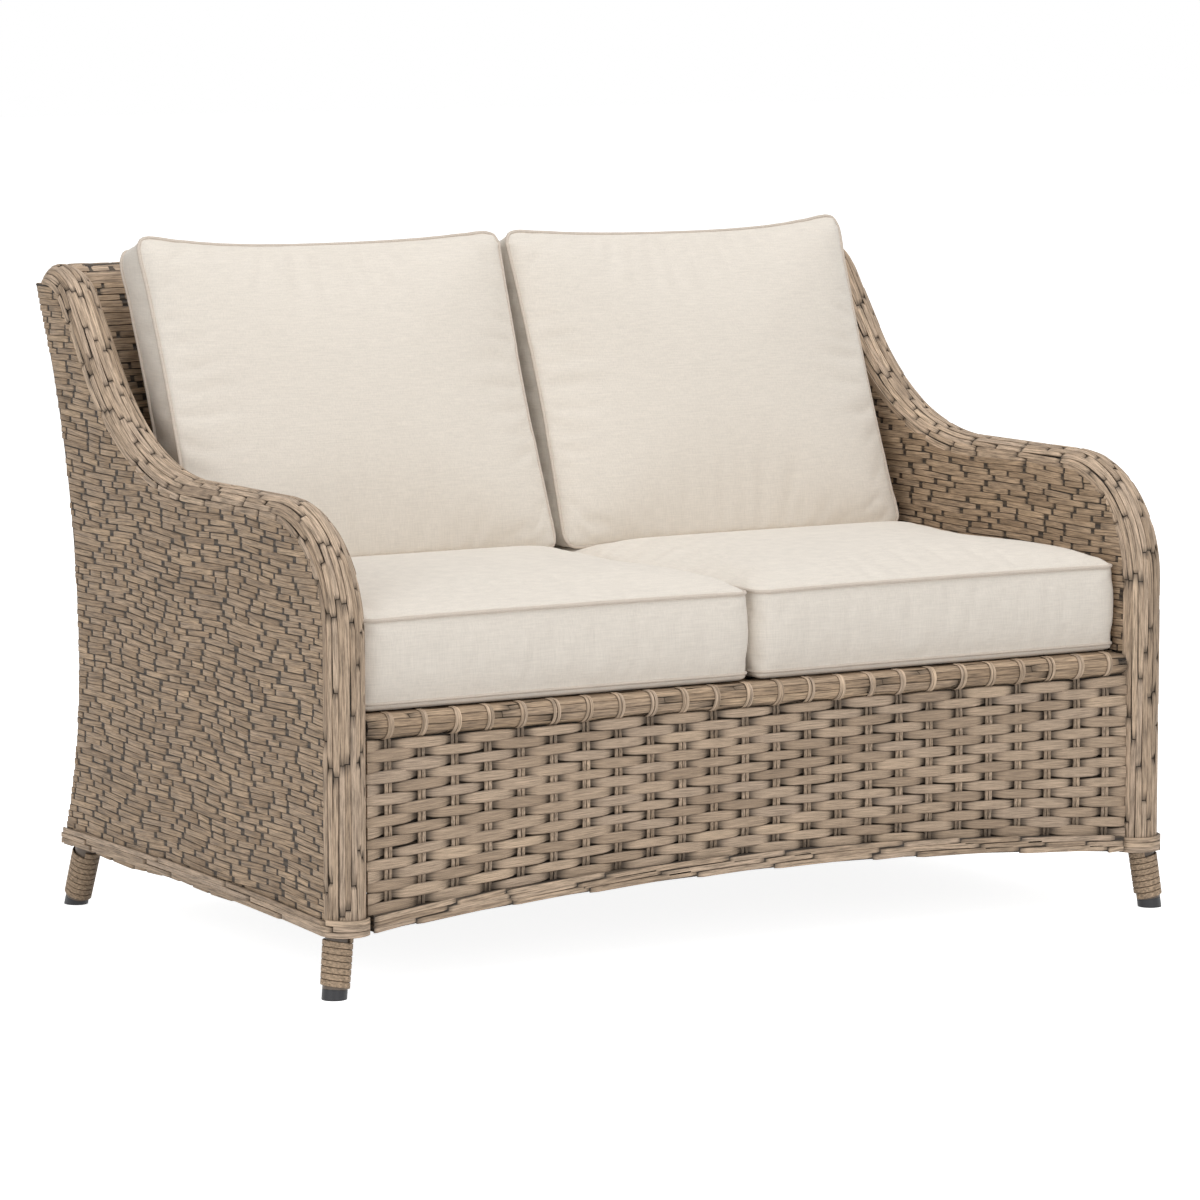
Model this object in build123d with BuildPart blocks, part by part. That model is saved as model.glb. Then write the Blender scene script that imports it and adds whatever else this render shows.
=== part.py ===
"""Two-seat patio loveseat: woven resin wicker over a welded aluminium tube frame, with loose
box-edged cushions. Millimetres, +X to the right seen from the front, front faces -Y, +Z up.
The origin is on the floor, under the middle of the loveseat."""

from math import asin, atan2, copysign, cos, degrees, pi, radians, sin, sqrt, tan
import os

from build123d import *

# Overall form
overall_depth = 903
arm_width = 58
back_top_z = 923
arm_top_z = 651
rim_proud = 6             # how far the base rim stands out from the post
weave = 5                 # thickness of a woven wall
fit_gap = 0.3             # between a woven skin and what it lies on
weld_gap = 0.2            # between the coped ends of welded tubes
overrun = 60              # how far a cutter runs past what it cuts

# Arm outline, side view. The sweep's run up to the back's top is a share of its rise
front_roll_radius = 175
sweep_run_share = 1.625
slope_share = 0.26186     # length of the straight slope, over the sweep's run
top_roll_radius = 100.5
post_base_z = 87

# Rear outline, side view
waist_depth = 77.1        # from the foot of the inner back to the waist
rearmost_drop_height = 23.6  # from the back's top down to the rearmost line
waist_z = 360
lower_rear_radius = 650
back_cap_depth = 54
rear_base_z = 96

# Inner back
back_recline = 21.3
back_bend_z = 500

# Tube frame
tube = 20
tube_wall = 2
seat_top_z = 372
deck_bar_count = 5
deck_bar_edge = 27.7      # from the inner arm face to the middle of the outer bar
stile_count = 4
stile_edge = 30
base_rail_gap = 2         # from the rim's lower edge up to the rail
lumbar_rail_z = 490
top_rail_drop = 2         # from the caps' seat down to the back's top rail

# Legs: how far the foot and the top stand outside the arm's middle, and behind the post's front or
# the waist
front_foot_offset_x = 19.4
front_foot_offset_y = 21.4
front_leg_top_offset_x = 9
front_leg_top_offset_y = 28.5
rear_foot_offset_x = 3.5
rear_foot_offset_y = 73.4
rear_leg_top_offset_x = 0.5
rear_leg_top_offset_y = 35
leg_radius = 17
leg_wall = 2
glide_height = 13
glide_stem = 28
glide_stem_gap = 0.2
stem_sides = 8

# Strand wound round each leg
wrap_width = 14.4
wrap_thickness = 2.6
wrap_gap = 0.8            # between one turn and the next
wrap_turns = 5
wrap_seat = 0.3           # between the strand and the leg or the glide

# Seat edge, apron and base rims
seat_band_height = 32
seat_band_proud = 5.5     # how far the band stands out from the apron
seat_band_strands = 5
apron_inset = 17          # from the post's front to the front of the wefts
arch_end_z = 85
arch_rise = 31
rim_height = 22
rim_front_depth = 17.5
side_rim_front_z = 84
side_rim_middle_z = 95
side_rim_rear_z = 94
stake_count = 24
stake_edge_inset = 33.5   # from the apron's end to the middle of its outer stake
stake_strand = 5.6        # width of one strand of a stake, which has two
stake_gap = 0.8
stake_thickness = 3
weft_count = 14
weft_thickness = 2.6
weft_height_share = 0.88
weave_clearance = 0.15

# Cap strands
cap_strands = 6
back_cap_strands = 5

# Seat cushions
cushion_gap = 4.7         # from the middle plane to a cushion's side
cushion_arm_gap = 3.3     # between a seat cushion and the arm
seat_cushion_width = 610
seat_cushion_inset = 37   # from the post's front to the cushion's front
seat_cushion_rear_gap = 3
seat_bottom_seam = 12     # height of the lower seam over the deck
seat_boxing = 112
seat_crown = 35
seat_draw = 5             # how far a side is drawn in between its corners
cushion_corner = 22
seat_bottom_inset = 9

# Back cushions
back_cushion_margin = 20  # how much narrower it is than a seat cushion
back_cushion_height = 487
back_seam_depth = 131.39  # from the foot of the inner back forwards to the front seam
back_seam_z = 503
back_boxing = 62
back_crown = 35
back_draw = 9
back_rest_gap = 0.5       # between the seat cushion's rear and the back cushion
crown_roll_radius = 60    # of the short arc that rises from each seam
crown_edge_angle = 45     # how steeply it rises there

# Worked out from the sizes above
arm_radius = arm_width / 2
inner_face_x = cushion_gap + seat_cushion_width + cushion_arm_gap
arm_middle_x = inner_face_x + arm_radius
post_front_y = -overall_depth / 2 + rim_proud
rear_y = overall_depth / 2
cap_seat_z = back_top_z - arm_radius
crown_end_y = rear_y - arm_radius
roll_middle_y = post_front_y + front_roll_radius
roll_middle_z = arm_top_z - front_roll_radius
sweep_rise = back_top_z - arm_top_z
sweep_run = sweep_run_share * sweep_rise
sweep_start_y = crown_end_y - sweep_run
slope_length = slope_share * sweep_run
both_radii = (sweep_run ** 2 + sweep_rise ** 2 - slope_length ** 2) / (2 * sweep_rise)
sweep_radius = both_radii - top_roll_radius
sweep_angle = degrees(atan2(both_radii, slope_length) - atan2(both_radii - sweep_rise, sweep_run))
sweep_sin = sin(radians(sweep_angle))
sweep_cos = cos(radians(sweep_angle))
arm_tube_width = arm_width - 2 * (weave + fit_gap)
panel_inset = arm_radius + fit_gap
arm_tube_inset = panel_inset
post_tube_front_y = post_front_y + arm_tube_inset
post_tube_rear_y = post_tube_front_y + tube
post_inset = weave + fit_gap
rail_front_y = post_front_y + panel_inset
rail_rear_y = rail_front_y + tube
recline_tan = tan(radians(back_recline))
recline_sin = sin(radians(back_recline))
recline_cos = cos(radians(back_recline))
back_top_front_y = rear_y - back_cap_depth
seat_back_y = back_top_front_y - (cap_seat_z - back_bend_z) * recline_tan
waist_y = seat_back_y + waist_depth
rear_rake_depth = rear_y - waist_y
rearmost_rise = back_top_z - rearmost_drop_height - waist_z
upper_rear_radius = (rearmost_rise ** 2 + rear_rake_depth ** 2) / (2 * rear_rake_depth)
rail_top_z = seat_top_z - weave - fit_gap
seat_band_bottom_z = seat_top_z - seat_band_height
apron_top_z = seat_band_bottom_z - fit_gap
apron_half_width = inner_face_x - fit_gap
apron_front_y = post_front_y + apron_inset
stake_pitch = 2 * (apron_half_width - stake_edge_inset) / (stake_count - 1)


def rear_face_y(z, inset=0):
    """Where the rear outline, inset from the outer face, stands at a height."""
    radius = (upper_rear_radius if z > waist_z else lower_rear_radius)
    reach = radius + inset
    return waist_y + radius - sqrt(reach ** 2 - (z - waist_z) ** 2)


def rear_line(inset, low_z, high_z):
    """Draws the rear outline between two heights, inset from the outer face."""
    low_reach = lower_rear_radius + inset
    high_reach = upper_rear_radius + inset
    start = 180 + degrees(asin((waist_z - low_z) / low_reach))
    end = 180 + degrees(asin(max(waist_z - high_z, 0) / low_reach))
    CenterArc((waist_y + lower_rear_radius, waist_z), low_reach, start, end - start)
    if high_z > waist_z:
        rise = degrees(asin((high_z - waist_z) / high_reach))
        CenterArc((waist_y + upper_rear_radius, waist_z), high_reach, 180, -rise)


def crown_line(inset, start_z):
    """Draws the arm's side outline from the post's foot to the back's top, inset from the crown."""
    post_y = post_front_y + inset
    level_z = arm_top_z - inset
    reach = sweep_radius + inset
    slope_start = (sweep_start_y + reach * sweep_sin, arm_top_z + sweep_radius - reach * sweep_cos)
    slope_end = (slope_start[0] + slope_length * sweep_cos, slope_start[1] + slope_length * sweep_sin)
    Line((post_y, start_z), (post_y, roll_middle_z))
    CenterArc((roll_middle_y, roll_middle_z), front_roll_radius - inset, 180, -90)
    Line((roll_middle_y, level_z), (sweep_start_y, level_z))
    CenterArc((sweep_start_y, arm_top_z + sweep_radius), reach, -90, sweep_angle)
    Line(slope_start, slope_end)
    CenterArc((crown_end_y, back_top_z - top_roll_radius), top_roll_radius - inset,
              90 + sweep_angle, -sweep_angle)


def arch_z(x, height=0):
    """Height of the apron's arched lower edge, or of a line that far above it."""
    radius = (apron_half_width ** 2 + arch_rise ** 2) / (2 * arch_rise)
    return arch_end_z + arch_rise - radius + sqrt(radius ** 2 - x ** 2) + height


def arch_line(height, half_width):
    """Draws the arch a given height above the apron's lower edge."""
    ThreePointArc((-half_width, arch_z(half_width, height)), (0, arch_z(0, height)),
                  (half_width, arch_z(half_width, height)))


def strand_row(radius, strands, middle):
    """Draws half a circle as flat strands laid side by side, from its left end round to its right."""
    turns = [pi + pi * seam / strands for seam in range(strands + 1)]
    Polyline(*[(middle[0] + radius * cos(turn), middle[1] + radius * sin(turn)) for turn in turns])


# Arm caps: half-round, of lengthwise strands, flat below where they lie on the arm tube
cap_plane = Plane(origin=(arm_middle_x, post_front_y, post_base_z), x_dir=(1, 0, 0), z_dir=(0, 0, 1))
cap_end_plane = Plane(origin=(arm_middle_x, crown_end_y, back_top_z), x_dir=(1, 0, 0), z_dir=(0, 1, 0))


def cap_profile():
    """Draws the arm cap's section: crown at the origin, depth along +Y."""
    strand_row(arm_radius, cap_strands, (0, arm_radius))
    Line((-arm_radius, arm_radius), (arm_radius, arm_radius))


with BuildLine(Plane.YZ) as crown_path:
    crown_line(0, post_base_z)

with BuildPart() as right_arm_cap:
    with BuildSketch(cap_plane) as cap_section:
        with BuildLine():
            cap_profile()
        make_face()
    sweep(path=crown_path.line)
    with BuildSketch(cap_end_plane) as cap_end_section:
        with BuildLine():
            cap_profile()
        make_face()
    revolve(axis=Axis((arm_middle_x, crown_end_y, cap_seat_z), (1, 0, 0)), revolution_arc=-90)

with BuildPart() as left_arm_cap:
    mirror(right_arm_cap.part, about=Plane.YZ)


def rectangular_tube(low, high):
    """Builds a square tube from its lowest and highest corner, open at the ends of its longer way."""
    spans = [high[way] - low[way] for way in range(3)]
    along = spans.index(max(spans))
    bore = [span + 2 * overrun if way == along else span - 2 * tube_wall
            for way, span in enumerate(spans)]
    middle = tuple((low[way] + high[way]) / 2 for way in range(3))
    with Locations(middle):
        Box(*spans)
        Box(*bore, mode=Mode.SUBTRACT)


# Arm tubes: flat tubes that follow the crown down the post, coped to the rear posts
def tube_band(near, far, start_z, end_y):
    """Draws the side outline of a tube along the crown, between two insets."""
    crown_line(near, start_z)
    crown_line(far, start_z)
    Line((post_front_y + near, start_z), (post_front_y + far, start_z))
    Polyline((crown_end_y, back_top_z - near), (end_y, back_top_z - near),
             (end_y, back_top_z - far), (crown_end_y, back_top_z - far))


rear_clear_inset = post_inset + tube + weld_gap

with BuildPart(mode=Mode.PRIVATE) as behind_posts:
    with BuildSketch(Plane.YZ):
        with BuildLine():
            rear_line(rear_clear_inset, -overrun, back_top_z)
            Polyline((rear_face_y(-overrun, rear_clear_inset), -overrun),
                     (rear_y + overrun, -overrun), (rear_y + overrun, back_top_z),
                     (rear_face_y(back_top_z, rear_clear_inset), back_top_z))
        make_face()
    extrude(amount=2 * arm_middle_x)

with BuildPart() as right_arm_tube:
    with BuildSketch(Plane.YZ.offset(arm_middle_x)):
        with BuildLine():
            tube_band(arm_tube_inset, arm_tube_inset + tube, post_base_z, rear_y)
        make_face()
    extrude(amount=arm_tube_width / 2, both=True)
    with BuildSketch(Plane.YZ.offset(arm_middle_x)):
        with BuildLine():
            tube_band(arm_tube_inset + tube_wall, arm_tube_inset + tube - tube_wall,
                      post_base_z - overrun, rear_y + overrun)
        make_face()
    extrude(amount=arm_tube_width / 2 - tube_wall, both=True, mode=Mode.SUBTRACT)
    add(behind_posts.part, mode=Mode.SUBTRACT)

with BuildPart() as left_arm_tube:
    mirror(right_arm_tube.part, about=Plane.YZ)


# Rear posts: flat tubes that follow the rear outline
def post_band(near, far, low_z, high_z):
    """Draws the side outline of a tube along the rear outline, between two insets."""
    rear_line(near, low_z, high_z)
    rear_line(far, low_z, high_z)
    Line((rear_face_y(low_z, near), low_z), (rear_face_y(low_z, far), low_z))
    Line((rear_face_y(high_z, near), high_z), (rear_face_y(high_z, far), high_z))


post_top_z = cap_seat_z - fit_gap

with BuildPart() as rear_right_post:
    with BuildSketch(Plane.YZ.offset(arm_middle_x)):
        with BuildLine():
            post_band(post_inset, post_inset + tube, rear_base_z, post_top_z)
        make_face()
    extrude(amount=arm_tube_width / 2, both=True)
    with BuildSketch(Plane.YZ.offset(arm_middle_x)):
        with BuildLine():
            post_band(post_inset + tube_wall, post_inset + tube - tube_wall,
                      rear_base_z - overrun, back_top_z + overrun)
        make_face()
    extrude(amount=arm_tube_width / 2 - tube_wall, both=True, mode=Mode.SUBTRACT)

with BuildPart() as rear_left_post:
    mirror(rear_right_post.part, about=Plane.YZ)

# Seat rails
post_inner_x = arm_middle_x - arm_tube_width / 2
rail_bottom_z = rail_top_z - tube
rear_rail_front_y = seat_back_y - tube / 2
rear_rail_rear_y = rear_rail_front_y + tube
side_rail_inner_x = arm_middle_x - tube / 2
rail_half = post_inner_x - weld_gap

with BuildPart() as front_seat_rail:
    rectangular_tube((-rail_half, rail_front_y, rail_bottom_z), (rail_half, rail_rear_y, rail_top_z))

with BuildPart() as right_seat_rail:
    rectangular_tube((side_rail_inner_x, post_tube_rear_y + weld_gap, rail_bottom_z),
                     (side_rail_inner_x + tube, rear_y, rail_top_z))
    add(behind_posts.part, mode=Mode.SUBTRACT)

with BuildPart() as left_seat_rail:
    mirror(right_seat_rail.part, about=Plane.YZ)

rear_rail_half = side_rail_inner_x - weld_gap

with BuildPart() as rear_seat_rail:
    rectangular_tube((-rear_rail_half, rear_rail_front_y, rail_bottom_z),
                     (rear_rail_half, rear_rail_rear_y, rail_top_z))

bar_spacing = 2 * (inner_face_x - deck_bar_edge) / (deck_bar_count - 1)

with BuildPart() as deck_cross_bars:
    for bar in range(deck_bar_count):
        bar_x = bar_spacing * (bar - (deck_bar_count - 1) / 2)
        rectangular_tube((bar_x - tube / 2, rail_rear_y + weld_gap, rail_bottom_z),
                         (bar_x + tube / 2, rear_rail_front_y - weld_gap, rail_top_z))

# Base rails
with BuildPart() as right_base_rail:
    rectangular_tube((side_rail_inner_x, post_tube_rear_y + weld_gap, rear_base_z + base_rail_gap),
                     (side_rail_inner_x + tube, rear_y, rear_base_z + base_rail_gap + tube))
    add(behind_posts.part, mode=Mode.SUBTRACT)

with BuildPart() as left_base_rail:
    mirror(right_base_rail.part, about=Plane.YZ)

base_rail_top_z = rear_base_z + base_rail_gap + tube
rear_base_rail_y = rear_face_y(base_rail_top_z, post_inset)

with BuildPart() as rear_base_rail:
    rectangular_tube((-rail_half, rear_base_rail_y - tube, base_rail_top_z - tube),
                     (rail_half, rear_base_rail_y, base_rail_top_z))


def arch_band(low, high, half_width):
    """Draws a band that follows the apron's arch between two heights over its lower edge."""
    arch_line(low, half_width)
    arch_line(high, half_width)
    for side in (-1, 1):
        Line((side * half_width, arch_z(half_width, low)), (side * half_width, arch_z(half_width, high)))


with BuildPart() as front_base_rail:
    with BuildSketch(Plane.XZ.offset(-(rail_front_y + rail_rear_y) / 2)):
        with BuildLine():
            arch_band(base_rail_gap, base_rail_gap + tube, rail_half)
        make_face()
    extrude(amount=tube / 2, both=True)
    with BuildSketch(Plane.XZ.offset(-(rail_front_y + rail_rear_y) / 2)):
        with BuildLine():
            arch_band(base_rail_gap + tube_wall, base_rail_gap + tube - tube_wall, rail_half + overrun)
        make_face()
    extrude(amount=tube / 2 - tube_wall, both=True, mode=Mode.SUBTRACT)

# Back frame
top_rail_top_z = cap_seat_z - top_rail_drop
top_rail_rear_y = rear_face_y(top_rail_top_z - tube, post_inset)
top_rail_front_y = top_rail_rear_y - tube

with BuildPart() as back_top_rail:
    rectangular_tube((-rail_half, top_rail_front_y, top_rail_top_z - tube),
                     (rail_half, top_rail_rear_y, top_rail_top_z))


def back_line(inset, low_z, high_z):
    """Gives the points of the inner back's side outline: upright, then reclined."""
    bend_drop = inset * tan(radians(back_recline) / 2)
    bend = (seat_back_y + inset, back_bend_z - bend_drop)
    top = (bend[0] + (high_z - bend[1]) * recline_tan, high_z)
    return [(seat_back_y + inset, low_z), bend, top]


def back_band(near, far, low_z, high_z):
    """Draws the side outline of a sheet or tube along the inner back, between two insets."""
    Polyline(*back_line(near, low_z, high_z), *reversed(back_line(far, low_z, high_z)), close=True)


stile_near = weave + fit_gap
stile_spacing = 2 * (inner_face_x - stile_edge) / (stile_count - 1)
stile_low_z = rail_top_z + weld_gap

with BuildPart() as back_stiles:
    for stile in range(stile_count):
        stile_x = stile_spacing * (stile - (stile_count - 1) / 2)
        with BuildSketch(Plane.YZ.offset(stile_x)):
            with BuildLine():
                back_band(stile_near, stile_near + tube, stile_low_z, top_rail_top_z)
            make_face()
        extrude(amount=tube / 2, both=True)
        with BuildSketch(Plane.YZ.offset(stile_x)):
            with BuildLine():
                back_band(stile_near + tube_wall, stile_near + tube - tube_wall,
                          stile_low_z - overrun, top_rail_top_z + overrun)
            make_face()
        extrude(amount=tube / 2 - tube_wall, both=True, mode=Mode.SUBTRACT)
    with Locations((0, top_rail_front_y - weld_gap + overrun, top_rail_top_z)):
        Box(2 * inner_face_x, 2 * overrun, 2 * overrun, mode=Mode.SUBTRACT)

lumbar_front_y = seat_back_y + stile_near + tube + weld_gap

with BuildPart() as lumbar_rail:
    rectangular_tube((-inner_face_x + fit_gap, lumbar_front_y, lumbar_rail_z - tube),
                     (inner_face_x - fit_gap, lumbar_front_y + tube, lumbar_rail_z))

# Woven arm panels
panel_foot_z = post_base_z
side_middle_y = (post_front_y + panel_inset + rear_face_y(rear_base_z)) / 2

with BuildPart() as right_outer_panel:
    with BuildSketch(Plane.YZ.offset(arm_middle_x + arm_radius - weave)):
        with BuildLine():
            crown_line(panel_inset, panel_foot_z)
            Polyline((crown_end_y, back_top_z - panel_inset),
                     (rear_face_y(back_top_z - panel_inset), back_top_z - panel_inset))
            rear_line(0, rear_base_z, back_top_z - panel_inset)
            ThreePointArc((rear_face_y(rear_base_z), rear_base_z),
                          (side_middle_y, side_rim_middle_z + base_rail_gap),
                          (post_front_y + panel_inset, panel_foot_z))
        make_face()
    extrude(amount=weave)

with BuildPart() as left_outer_panel:
    mirror(right_outer_panel.part, about=Plane.YZ)

with BuildPart(mode=Mode.PRIVATE) as behind_back:
    with BuildSketch(Plane.YZ):
        with BuildLine():
            back_band(-fit_gap, rear_y, -overrun, back_top_z + overrun)
        make_face()
    extrude(amount=2 * arm_middle_x)

with BuildPart() as right_inner_panel:
    with BuildSketch(Plane.YZ.offset(inner_face_x)):
        with BuildLine():
            crown_line(panel_inset, seat_top_z + fit_gap)
            Polyline((crown_end_y, back_top_z - panel_inset), (rear_y, back_top_z - panel_inset),
                     (rear_y, seat_top_z + fit_gap), (post_front_y + panel_inset, seat_top_z + fit_gap))
        make_face()
    extrude(amount=weave)
    add(behind_back.part, mode=Mode.SUBTRACT)

with BuildPart() as left_inner_panel:
    mirror(right_inner_panel.part, about=Plane.YZ)

# Woven back and deck
with BuildPart() as back_outer_panel:
    with BuildSketch(Plane.YZ):
        with BuildLine():
            post_band(0, weave, rear_base_z + base_rail_gap, cap_seat_z - fit_gap)
        make_face()
    extrude(amount=arm_middle_x + arm_radius - weave - fit_gap, both=True)

with BuildPart() as back_inner_panel:
    with BuildSketch(Plane.YZ):
        with BuildLine():
            back_band(0, weave, rail_top_z + fit_gap, cap_seat_z - fit_gap)
        make_face()
    extrude(amount=apron_half_width, both=True)

deck_front_y = rail_rear_y + fit_gap
deck_rear_y = seat_back_y - fit_gap

with BuildPart() as seat_deck:
    with Locations((0, (deck_front_y + deck_rear_y) / 2, seat_top_z - weave / 2)):
        Box(2 * apron_half_width, deck_rear_y - deck_front_y, weave)

# Cap along the top of the back: half-round, of lengthwise strands, on a low plinth
back_cap_radius = back_cap_depth / 2
back_cap_middle_z = back_top_z - back_cap_radius

back_cap_plane = Plane(origin=(0, rear_y - back_cap_radius, back_cap_middle_z),
                       x_dir=(0, 1, 0), z_dir=(-1, 0, 0))

with BuildPart() as back_top_cap:
    with BuildSketch(back_cap_plane):
        with BuildLine():
            strand_row(back_cap_radius, back_cap_strands, (0, 0))
            Polyline((-back_cap_radius, 0), (-back_cap_radius, back_cap_middle_z - cap_seat_z),
                     (back_cap_radius, back_cap_middle_z - cap_seat_z), (back_cap_radius, 0))
        make_face()
    extrude(amount=apron_half_width, both=True)

# Band round the front seat rail: rounded, of lengthwise strands, open behind
band_radius = seat_band_height / 2
band_front_y = apron_front_y - seat_band_proud
band_middle_y = band_front_y + band_radius
band_middle_z = seat_top_z - band_radius
band_rebate_front_y = rail_front_y - fit_gap
band_plane = Plane(origin=(0, band_middle_y, band_middle_z), x_dir=(0, 0, 1), z_dir=(-1, 0, 0))

with BuildPart() as front_rail_band:
    with BuildSketch(band_plane):
        with BuildLine():
            strand_row(band_radius, seat_band_strands, (0, 0))
            band_back = rail_rear_y - band_middle_y
            rebate_front = band_rebate_front_y - band_middle_y
            rebate_low = rail_bottom_z - fit_gap - band_middle_z
            rebate_high = rail_top_z + fit_gap - band_middle_z
            Polyline((-band_radius, 0), (-band_radius, band_back), (rebate_low, band_back),
                     (rebate_low, rebate_front), (rebate_high, rebate_front), (rebate_high, band_back),
                     (band_radius, band_back), (band_radius, 0))
        make_face()
    extrude(amount=apron_half_width, both=True)

# Front apron: paired upright stakes, and wefts that pass in front of one stake and behind the next
stake_width = 2 * stake_strand + stake_gap
weft_offset = ((stake_thickness + weft_thickness) / 2 + weave_clearance) / (1 - stake_width / stake_pitch)
apron_middle_y = apron_front_y + weft_offset + weft_thickness / 2
apron_foot = rim_height + fit_gap


def stake_x(stake):
    """Middle of a stake, counted from the left."""
    return stake_pitch * (stake - (stake_count - 1) / 2)


with BuildPart() as apron_stakes:
    for stake in range(stake_count):
        for side in (-1, 1):
            strand_x = stake_x(stake) + side * (stake_strand + stake_gap) / 2
            inner_edge = max(abs(strand_x) - stake_strand / 2, 0)
            strand_foot_z = arch_z(inner_edge, apron_foot)
            strand_length = apron_top_z - strand_foot_z
            with Locations((strand_x, apron_middle_y, apron_top_z - strand_length / 2)):
                Box(stake_strand, stake_thickness, strand_length)


def weft_curtain(first_side):
    """Builds a zigzag sheet in front of every other stake, as high as the whole apron."""
    points = []
    for stake in range(-1, stake_count + 1):
        side = first_side if stake % 2 == 0 else -first_side
        points.append((stake_x(stake), apron_middle_y + side * weft_offset))
    front = [(x, y - weft_thickness / 2) for x, y in points]
    rear = [(x, y + weft_thickness / 2) for x, y in reversed(points)]
    with BuildSketch(Plane.XY.offset(arch_end_z)) as curtain:
        with BuildLine():
            Polyline(*front, *rear, close=True)
        make_face()
    extrude(curtain.sketch, amount=apron_top_z - arch_end_z)


def weft_edge(share):
    """Gives the points of a line across the apron, a share of the way down from its top to the rim."""
    points = []
    for stake in range(-1, stake_count + 1):
        x = min(max(stake_x(stake), -apron_half_width), apron_half_width)
        points.append((x, apron_top_z - share * (apron_top_z - arch_z(x, apron_foot))))
    return points


def weft_bands(first):
    """Cuts the sheet into every other course, each straight from stake to stake along the arch."""
    with BuildSketch(Plane.XZ.offset(-apron_middle_y)) as bands:
        for course in range(first, weft_count, 2):
            high = weft_edge((course + (1 - weft_height_share) / 2) / weft_count)
            low = weft_edge((course + (1 + weft_height_share) / 2) / weft_count)
            with BuildLine():
                Polyline(*high, *reversed(low), close=True)
            make_face()
    extrude(bands.sketch, amount=2 * weft_offset, both=True, mode=Mode.INTERSECT)


with BuildPart() as even_wefts:
    weft_curtain(-1)
    weft_bands(0)

with BuildPart() as odd_wefts:
    weft_curtain(1)
    weft_bands(1)

with BuildPart() as apron_wefts:
    add(even_wefts.part)
    add(odd_wefts.part)

# Base rims: strands laid along the lower edge, round the foot of each front post
rim_inner = arm_radius + fit_gap
rim_outer = arm_radius + rim_proud
rim_front_y = post_front_y + arm_radius - rim_outer
post_middle_y = post_front_y + arm_radius
front_rim_half = arm_middle_x - rim_outer - fit_gap
rim_rear_y = rail_front_y - fit_gap

with BuildPart() as front_base_rim:
    with BuildSketch(Plane.XZ.offset(-rim_rear_y)):
        with BuildLine():
            arch_band(0, rim_height, front_rim_half)
        make_face()
    extrude(amount=rim_front_depth)

with BuildPart() as right_base_rim:
    with BuildSketch():
        with BuildLine():
            CenterArc((arm_middle_x, post_middle_y), rim_outer, 180, 180)
            CenterArc((arm_middle_x, post_middle_y), rim_inner, 180, 180)
            Line((arm_middle_x - rim_outer, post_middle_y), (arm_middle_x - rim_inner, post_middle_y))
            Polyline((arm_middle_x + rim_outer, post_middle_y), (arm_middle_x + rim_outer, rear_y),
                     (arm_middle_x + rim_inner, rear_y), (arm_middle_x + rim_inner, post_middle_y))
        make_face()
    extrude(amount=back_top_z)
    with BuildSketch(Plane.YZ):
        with BuildLine():
            rim_ends = []
            for height in (0, rim_height):
                front_point = (post_middle_y, side_rim_front_z + height)
                rear_point = (rear_face_y(side_rim_rear_z), side_rim_rear_z + height)
                ThreePointArc(front_point, (side_middle_y, side_rim_middle_z + height), rear_point)
                Line((rim_front_y, side_rim_front_z + height), front_point)
                rim_ends.append(rear_point)
            Line((rim_front_y, side_rim_front_z), (rim_front_y, side_rim_front_z + rim_height))
            Line(*rim_ends)
        make_face()
    extrude(amount=2 * arm_middle_x, mode=Mode.INTERSECT)

with BuildPart() as left_base_rim:
    mirror(right_base_rim.part, about=Plane.YZ)

with BuildPart() as rear_base_rim:
    with BuildSketch(Plane.YZ):
        with BuildLine():
            post_band(-rim_proud, -fit_gap, side_rim_rear_z, side_rim_rear_z + rim_height)
        make_face()
    extrude(amount=arm_middle_x + arm_radius, both=True)


# Legs: round tubes that splay outwards, cut level under the posts
def leg_plane(foot, top, height):
    """Plane square to a leg's axis, with its origin where the axis meets the floor."""
    return Plane(origin=(*foot, 0), z_dir=(top[0] - foot[0], top[1] - foot[1], height))


front_leg_top_z = post_base_z - weld_gap
rear_leg_top_z = rear_base_z - weld_gap
front_foot = (arm_middle_x + front_foot_offset_x, post_front_y + front_foot_offset_y)
front_leg_top = (arm_middle_x + front_leg_top_offset_x, post_front_y + front_leg_top_offset_y)
rear_foot = (arm_middle_x + rear_foot_offset_x, waist_y + rear_foot_offset_y)
rear_leg_top = (arm_middle_x + rear_leg_top_offset_x, waist_y + rear_leg_top_offset_y)
front_leg = leg_plane(front_foot, front_leg_top, front_leg_top_z)
rear_leg = leg_plane(rear_foot, rear_leg_top, rear_leg_top_z)
leg_bore_radius = leg_radius - leg_wall


def build_leg(plane, top_z):
    """Builds a leg tube from its glide up to a level top."""
    with BuildSketch(plane.offset(glide_height)) as ring:
        Circle(leg_radius)
        Circle(leg_bore_radius, mode=Mode.SUBTRACT)
    extrude(ring.sketch, amount=2 * top_z)
    split(bisect_by=Plane.XY.offset(top_z), keep=Keep.BOTTOM)


def build_glide(plane):
    """Builds a glide: a flange on the floor and an eight-sided stem up the leg's bore."""
    with BuildSketch(plane.offset(-glide_height)) as flange:
        Circle(leg_radius)
    extrude(flange.sketch, amount=2 * glide_height - fit_gap)
    with BuildSketch(plane.offset(glide_height / 2)) as stem:
        RegularPolygon(leg_bore_radius - glide_stem_gap, stem_sides)
    extrude(stem.sketch, amount=glide_height / 2 + glide_stem)
    split(bisect_by=Plane.XY, keep=Keep.TOP)


with BuildPart() as front_legs:
    build_leg(front_leg, front_leg_top_z)
    mirror(about=Plane.YZ)

with BuildPart() as rear_legs:
    build_leg(rear_leg, rear_leg_top_z)
    mirror(about=Plane.YZ)

with BuildPart() as front_glides:
    build_glide(front_leg)
    mirror(about=Plane.YZ)

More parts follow.
